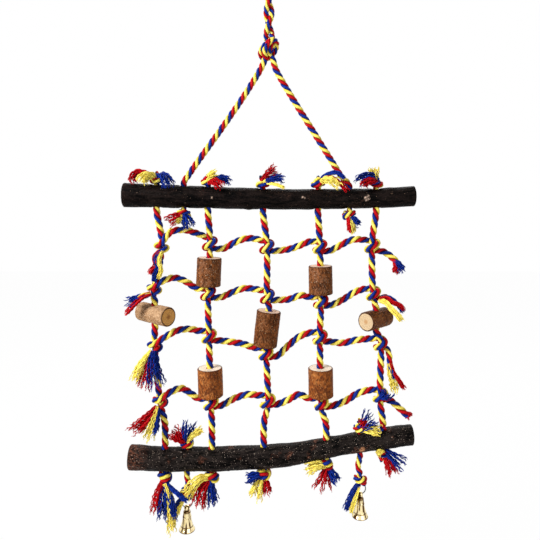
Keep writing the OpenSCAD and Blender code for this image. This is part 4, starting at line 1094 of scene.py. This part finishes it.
def logMesh(name, stations, detail, bark, grain, seed, boreAcross, bore=0.0, scars=()):
    # stations: place along the log, middle height and radius
    stations = np.array(stations, float)
    count, around = len(stations), detail["around"]
    points, local, relief, scar, heart, edge = [], [], [], [], [], []
    shift = Vector((seed * 13.7, seed * 5.1, seed * 9.3))
    angles = [math.tau * k / around for k in range(around)]
    for x, lift, radius in stations:
        for a in angles:
            way = Vector((0, math.sin(a), math.cos(a)))
            surface = Vector((x, 0, 0)) + way * radius
            lump = noise.noise(Vector((x * 0.045, surface.y * 0.09, surface.z * 0.09)) + shift)
            place = Vector((x * detail["along"], surface.y * 0.55, surface.z * 0.55)) + shift
            ridge = noise.fractal(place, 0.9, 2.1, 4)
            grit = noise.noise(Vector((x * 0.9, surface.y * 0.9, surface.z * 0.9)) + shift)
            height = lump * detail["lump"] + ridge * detail["ridge"] + grit * detail["grit"]
            shade = 0.0
            # a scar: its place, the way it faces, size, rise and how much it is tinted
            for sx, sa, size, rise, tint in scars:
                gap = math.hypot(x - sx, radius * ((a - math.radians(sa) + math.pi) % math.tau - math.pi))
                if gap < size * logLook["scarReach"]:
                    height += rise * math.exp(-(gap / size) ** 2 * logLook["scarFall"])
                    if gap < size * logLook["scarFace"]:
                        shade = max(shade, tint * (1 - (gap / size / logLook["scarFace"]) ** 4))
            for hx in boreAcross:
                gap = math.hypot(x - hx, radius * math.sin(a))
                if gap < logLook["holeReach"]:
                    height -= logLook["holeDip"] * (1 - gap / logLook["holeReach"])
            y, z = surface.y + way.y * height, surface.z + way.z * height
            points.append((x, y, z + lift))
            local.append((x, y, z))
            relief.append(ridge + lump * 0.5)
            scar.append(shade)
            heart.append(1.0)
            edge.append(max(0.0, 1 - min(x - stations[0][0], stations[-1][0] - x) / logLook["rim"]))
    rings = [list(range(i * around, (i + 1) * around)) for i in range(count)]
    faces = []
    for low, high in zip(rings, rings[1:]):
        faces += bandFaces(low, high)
    sides = len(faces)
    inner = max(bore, logLook["heartHole"])
    lastLoops = []
    for end in (0, count - 1):
        x, lift, radius = stations[end]
        loops = [rings[end]]
        for r in range(1, logLook["faceRings"] + 1):
            share = 1 - r / logLook["faceRings"]
            loop = []
            for k in rings[end]:
                full = Vector((0, local[k][1], local[k][2]))
                reach = full.length * share + inner * (1 - share)
                flat = full.normalized() * reach
                rough = logLook["faceRough"] * noise.noise(Vector((flat.y * 0.7, flat.z * 0.7, x)) + shift)
                loop.append(len(points))
                points.append((x + rough, flat.y, flat.z + lift))
                local.append((x, flat.y, flat.z))
                relief.append(0.0)
                scar.append(0.0)
                heart.append(reach / radius)
                edge.append(1.0)
            loops.append(loop)
        for a, b in zip(loops, loops[1:]):
            faces += bandFaces(a, b, inward=end == 0)
        lastLoops.append(loops[-1])
        if not bore:
            faces.append(tuple(loops[-1][::-1]) if end == 0 else tuple(loops[-1]))
    if bore:
        faces += bandFaces(*lastLoops, inward=True)
    kinds = [0] * sides + [1] * (len(faces) - sides)
    mesh = bpy.data.meshes.new(name)
    mesh.from_pydata(points, [], faces)
    mesh.materials.append(bark)
    mesh.materials.append(grain)
    mesh.polygons.foreach_set("material_index", kinds)
    mesh.polygons.foreach_set("use_smooth", [kind == 0 for kind in kinds])
    storePoints(mesh, {"place": local, "relief": relief, "scar": scar, "heart": heart, "edge": edge})
    return addObject(name, mesh)


def settle(piece, turn, origin):
    # moves the log's own points into the frame, and from millimetres to metres
    co = np.array([v.co for v in piece.data.vertices], float)
    co = (co @ np.array(turn, float).T + np.array(origin, float)) * mm
    piece.data.vertices.foreach_set("co", co.astype(np.float32).ravel())
    piece.data.update()


perchLook = {
    "upper": {"detail": {"around": 88, "along": 0.10, "lump": 0.45, "ridge": 0.24, "grit": 0.12}, "seed": 3,
              "scars": [(-56, 270, 1.8, 0.5, 0.6), (33, 281, 1.9, 0.4, 0.8), (35, 276, 1.5, 0.4, 0.8),
                        (96, 271, 5.0, 0.8, 0.2), (94.4, 275, 1.9, 0.2, 1.0), (97.2, 285, 2.0, 0.2, 1.0),
                        (98.2, 268, 1.8, 0.2, 0.9), (95.6, 260, 1.7, 0.2, 1.0), (-20, 200, 5, 1.2, 0.0),
                        (66, 150, 4, 0.9, 0.4), (-90, 90, 5, 1.3, 0.5), (120, 330, 5, 1.0, 0.0),
                        (10, 20, 4, 1.0, 0.4), (-128, 210, 4, 0.8, 0.0)]},
    "lower": {"detail": {"around": 88, "along": 0.12, "lump": 0.6, "ridge": 0.34, "grit": 0.18}, "seed": 8,
              "scars": [(91.5, 251, 5.0, 1.0, 1.0), (-40, 190, 3.0, 0.7, 0.35), (30, 170, 3.5, 0.9, 0.3),
                        (-100, 120, 5, 1.2, 0.4), (60, 20, 5, 1.2, 0.4), (-10, 330, 4, 1.0, 0.0),
                        (125, 190, 3, 0.8, 0.3)]},
}

perchForm = {"bevel": 0.5, "every": 0.8, "smooth": 12}


def makePerches(looks, form):
    bevel, smooth = form["bevel"], form["smooth"]
    for which, look in looks.items():
        shape, upper = perchShapes[which], which == "upper"
        left, long = shape["middle"] - shape["long"] / 2, shape["long"]
        between = np.linspace(bevel, long - bevel, int(long / form["every"]))
        xs = np.concatenate([[0], between, [long]]) + left
        # each station is the mean of the perch over a little way to either side
        smoothXs = np.clip(xs[:, None] + np.linspace(-smooth, smooth, 9)[None], left, left + long)
        heights, radii = perchAt(which, smoothXs)
        stations = np.stack([xs, heights.mean(1) - shape["height"], radii.mean(1)], axis=1)
        stations[[0, -1], 2] -= bevel
        bores = [way[0 if upper else -1][1] for way in uprightWays] + (legHoles if upper else bellHoles)
        name = which.capitalize()
        piece = logMesh(f"perch{name}", stations, look["detail"], barkMaterials[f"perch{name}"],
                        grainMaterials[name], look["seed"], bores, scars=look["scars"])
        settle(piece, np.eye(3), (0, 0, shape["height"]))
        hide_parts(f"{which}_perch")
        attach(piece, f"{which}_perch")


makePerches(perchLook, perchForm)
# a block with a turn lies across the net, and the others stand on their upright
blockLook = {
    "upper_left": {"x": -60.1, "z": -339.8, "tilt": 2.29, "long": 28, "wide": 25, "bark": "Dark", "grain": "Pink"},
    "upper_right": {"x": 51.6, "z": -347.8, "tilt": -1.04, "long": 28, "wide": 24.4, "bark": "Dark",
                    "grain": "Pink"},
    "centre": {"x": -2.03, "z": -396.3, "tilt": 6.34, "long": 35, "wide": 24.6, "bark": "Red", "grain": "Pink"},
    "lower_left": {"x": -58.7, "z": -449.8, "tilt": -1.71, "long": 28, "wide": 25.4, "bark": "Orange",
                   "grain": "Cream"},
    "lower_right": {"x": 51.7, "z": -449.8, "tilt": -0.87, "long": 28, "wide": 25.4, "bark": "Orange",
                    "grain": "Cream"},
    "side_left": {"x": -114, "z": -382, "tilt": 0, "turn": 50, "long": 42, "wide": 19.5, "bark": "Grey",
                  "grain": "Tan"},
    "side_right": {"x": 107, "z": -387, "tilt": 0, "turn": -45, "long": 35, "wide": 19.5, "bark": "Red",
                   "grain": "Fresh"},
}
blockForm = {"detail": {"around": 96, "along": 0.35, "lump": 0.3, "ridge": 0.16, "grit": 0.14}, "bevel": 0.6,
             "every": 0.5, "skin": 0.35, "bore": 3.8, "firstSeed": 21}


def makeBlocks(looks, form):
    bevel = form["bevel"]
    for seed, (place, look) in enumerate(looks.items(), form["firstSeed"]):
        node = "block_" + place
        half, radius = look["long"] / 2, look["wide"] / 2 - form["skin"]
        between = np.linspace(-half + bevel, half - bevel, int(look["long"] / form["every"]))
        xs = np.concatenate([[-half], between, [half]])
        stations = np.stack([xs, 0 * xs, np.full(len(xs), radius)], axis=1)
        stations[[0, -1], 2] -= bevel
        lying = "turn" in look
        name = node.replace("_", " ").title().replace(" ", "")
        hole, across = (0, (0,)) if lying else (form["bore"], ())
        piece = logMesh(name, stations, form["detail"], barkMaterials["block" + look["bark"]],
                        grainMaterials[look["grain"]], seed, across, hole)
        t = math.radians(look["tilt"])
        turn = np.array([(math.cos(t), 0, math.sin(t)), (0, 1, 0), (-math.sin(t), 0, math.cos(t))])
        if lying:
            # the log's X goes to the frame's -Y, turned about Z
            a = math.radians(look["turn"])
            spin = np.array([(math.cos(a), -math.sin(a), 0), (math.sin(a), math.cos(a), 0), (0, 0, 1)])
            turn = turn @ spin @ np.array([(0, 1, 0), (-1, 0, 0), (0, 0, 1)])
        else:
            turn = turn @ np.array([(0, 0, -1), (0, 1, 0), (1, 0, 0)])
        settle(piece, turn, (look["x"], 0, look["z"]))
        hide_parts(node)
        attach(piece, node)


makeBlocks(blockLook, blockForm)
print("perches and blocks made")


# metal pieces stay as the frame has them, with their own finish
def dressNode(node, material):
    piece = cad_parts[node]
    piece.data.materials.clear()
    piece.data.materials.append(material)


def dressMetal():
    steel = metalMaterial("ringSteel", metalLooks["ringSteel"], metalPattern)
    zinc = metalMaterial("linkZinc", metalLooks["linkZinc"], metalPattern)
    for side, name in enumerate(sideNames):
        brass = metalMaterial(f"bellBrass{name.capitalize()}", metalLooks["bellBrass"], metalPattern,
                              bellHoles[side], bellTops[side])
        dressNode(f"bell_{name}", brass)
        dressNode(f"jump_ring_{name}", steel)
        dressNode(f"clapper_{name}", steel)
    dressNode("quick_link", zinc)
    dressNode("link_sleeve_nut", zinc)


dressMetal()
print("metal finished")

# light: a bright, even studio
lampLook = {
    "key": {"at": (-1.15, -0.75, 0.35), "size": 0.5, "power": 32.0},
    "fill": {"at": (0.7, -1.1, -0.1), "size": 0.9, "power": 3.5},
    "low": {"at": (0.0, -0.8, -1.1), "size": 0.8, "power": 2.5},
    "back": {"at": (0.1, 0.9, 0.3), "size": 0.9, "power": 8.0},
}
lampAim = Vector((0, 0, -0.36))
ambient = 0.3  # what the white world gives where nothing looks at it


def setLamps(looks):
    for name, look in looks.items():
        data = bpy.data.lights.new(name, "AREA")
        data.size = look["size"]
        data.energy = look["power"]
        lamp = addObject(name, data)
        lamp.location = look["at"]
        lamp.rotation_euler = (lampAim - Vector(look["at"])).to_track_quat("-Z", "Y").to_euler()


def seenDirectly(tree):
    # 1 where the camera looks, also by reflection or through glass
    paths = addNode(tree, "ShaderNodeLightPath").outputs
    mirrored = calc(tree, "MAXIMUM", paths["Is Glossy Ray"], paths["Is Transmission Ray"])
    return calc(tree, "MAXIMUM", paths["Is Camera Ray"], mirrored)


def setWorld(ambient):
    world = bpy.data.worlds.new("studio")
    world.use_nodes = True
    scene.world = world
    tree = world.node_tree
    strength = plus(tree, times(tree, seenDirectly(tree), 1.0 - ambient), ambient)
    setInputs(tree, tree.nodes["Background"], {0: (1, 1, 1, 1), 1: strength})


floorLook = {"height": -0.70, "half": 2.5, "colour": (0.86, 0.86, 0.86), "shown": 0.98}


def makeFloor(look):
    material, tree, shader = startMaterial("paleFloor")
    setInputs(tree, shader, {"Base Color": (*look["colour"], 1), "Roughness": 0.9, "Specular IOR Level": 0.1})
    white = addNode(tree, "ShaderNodeEmission", {"Strength": 1.0}).outputs[0]
    share = times(tree, seenDirectly(tree), look["shown"])
    both = addNode(tree, "ShaderNodeMixShader", {0: share, 1: shader.outputs[0], 2: white}).outputs[0]
    setInputs(tree, tree.nodes["Material Output"], {"Surface": both})
    h, z = look["half"], look["height"]
    mesh = bpy.data.meshes.new("floor")
    mesh.from_pydata([(-h, -h, z), (h, -h, z), (h, h, z), (-h, h, z)], [], [(0, 1, 2, 3)])
    mesh.materials.append(material)
    addObject("floor", mesh)


setLamps(lampLook)
setWorld(ambient)
makeFloor(floorLook)
scene.view_settings.view_transform = "Standard"
print("scene made")
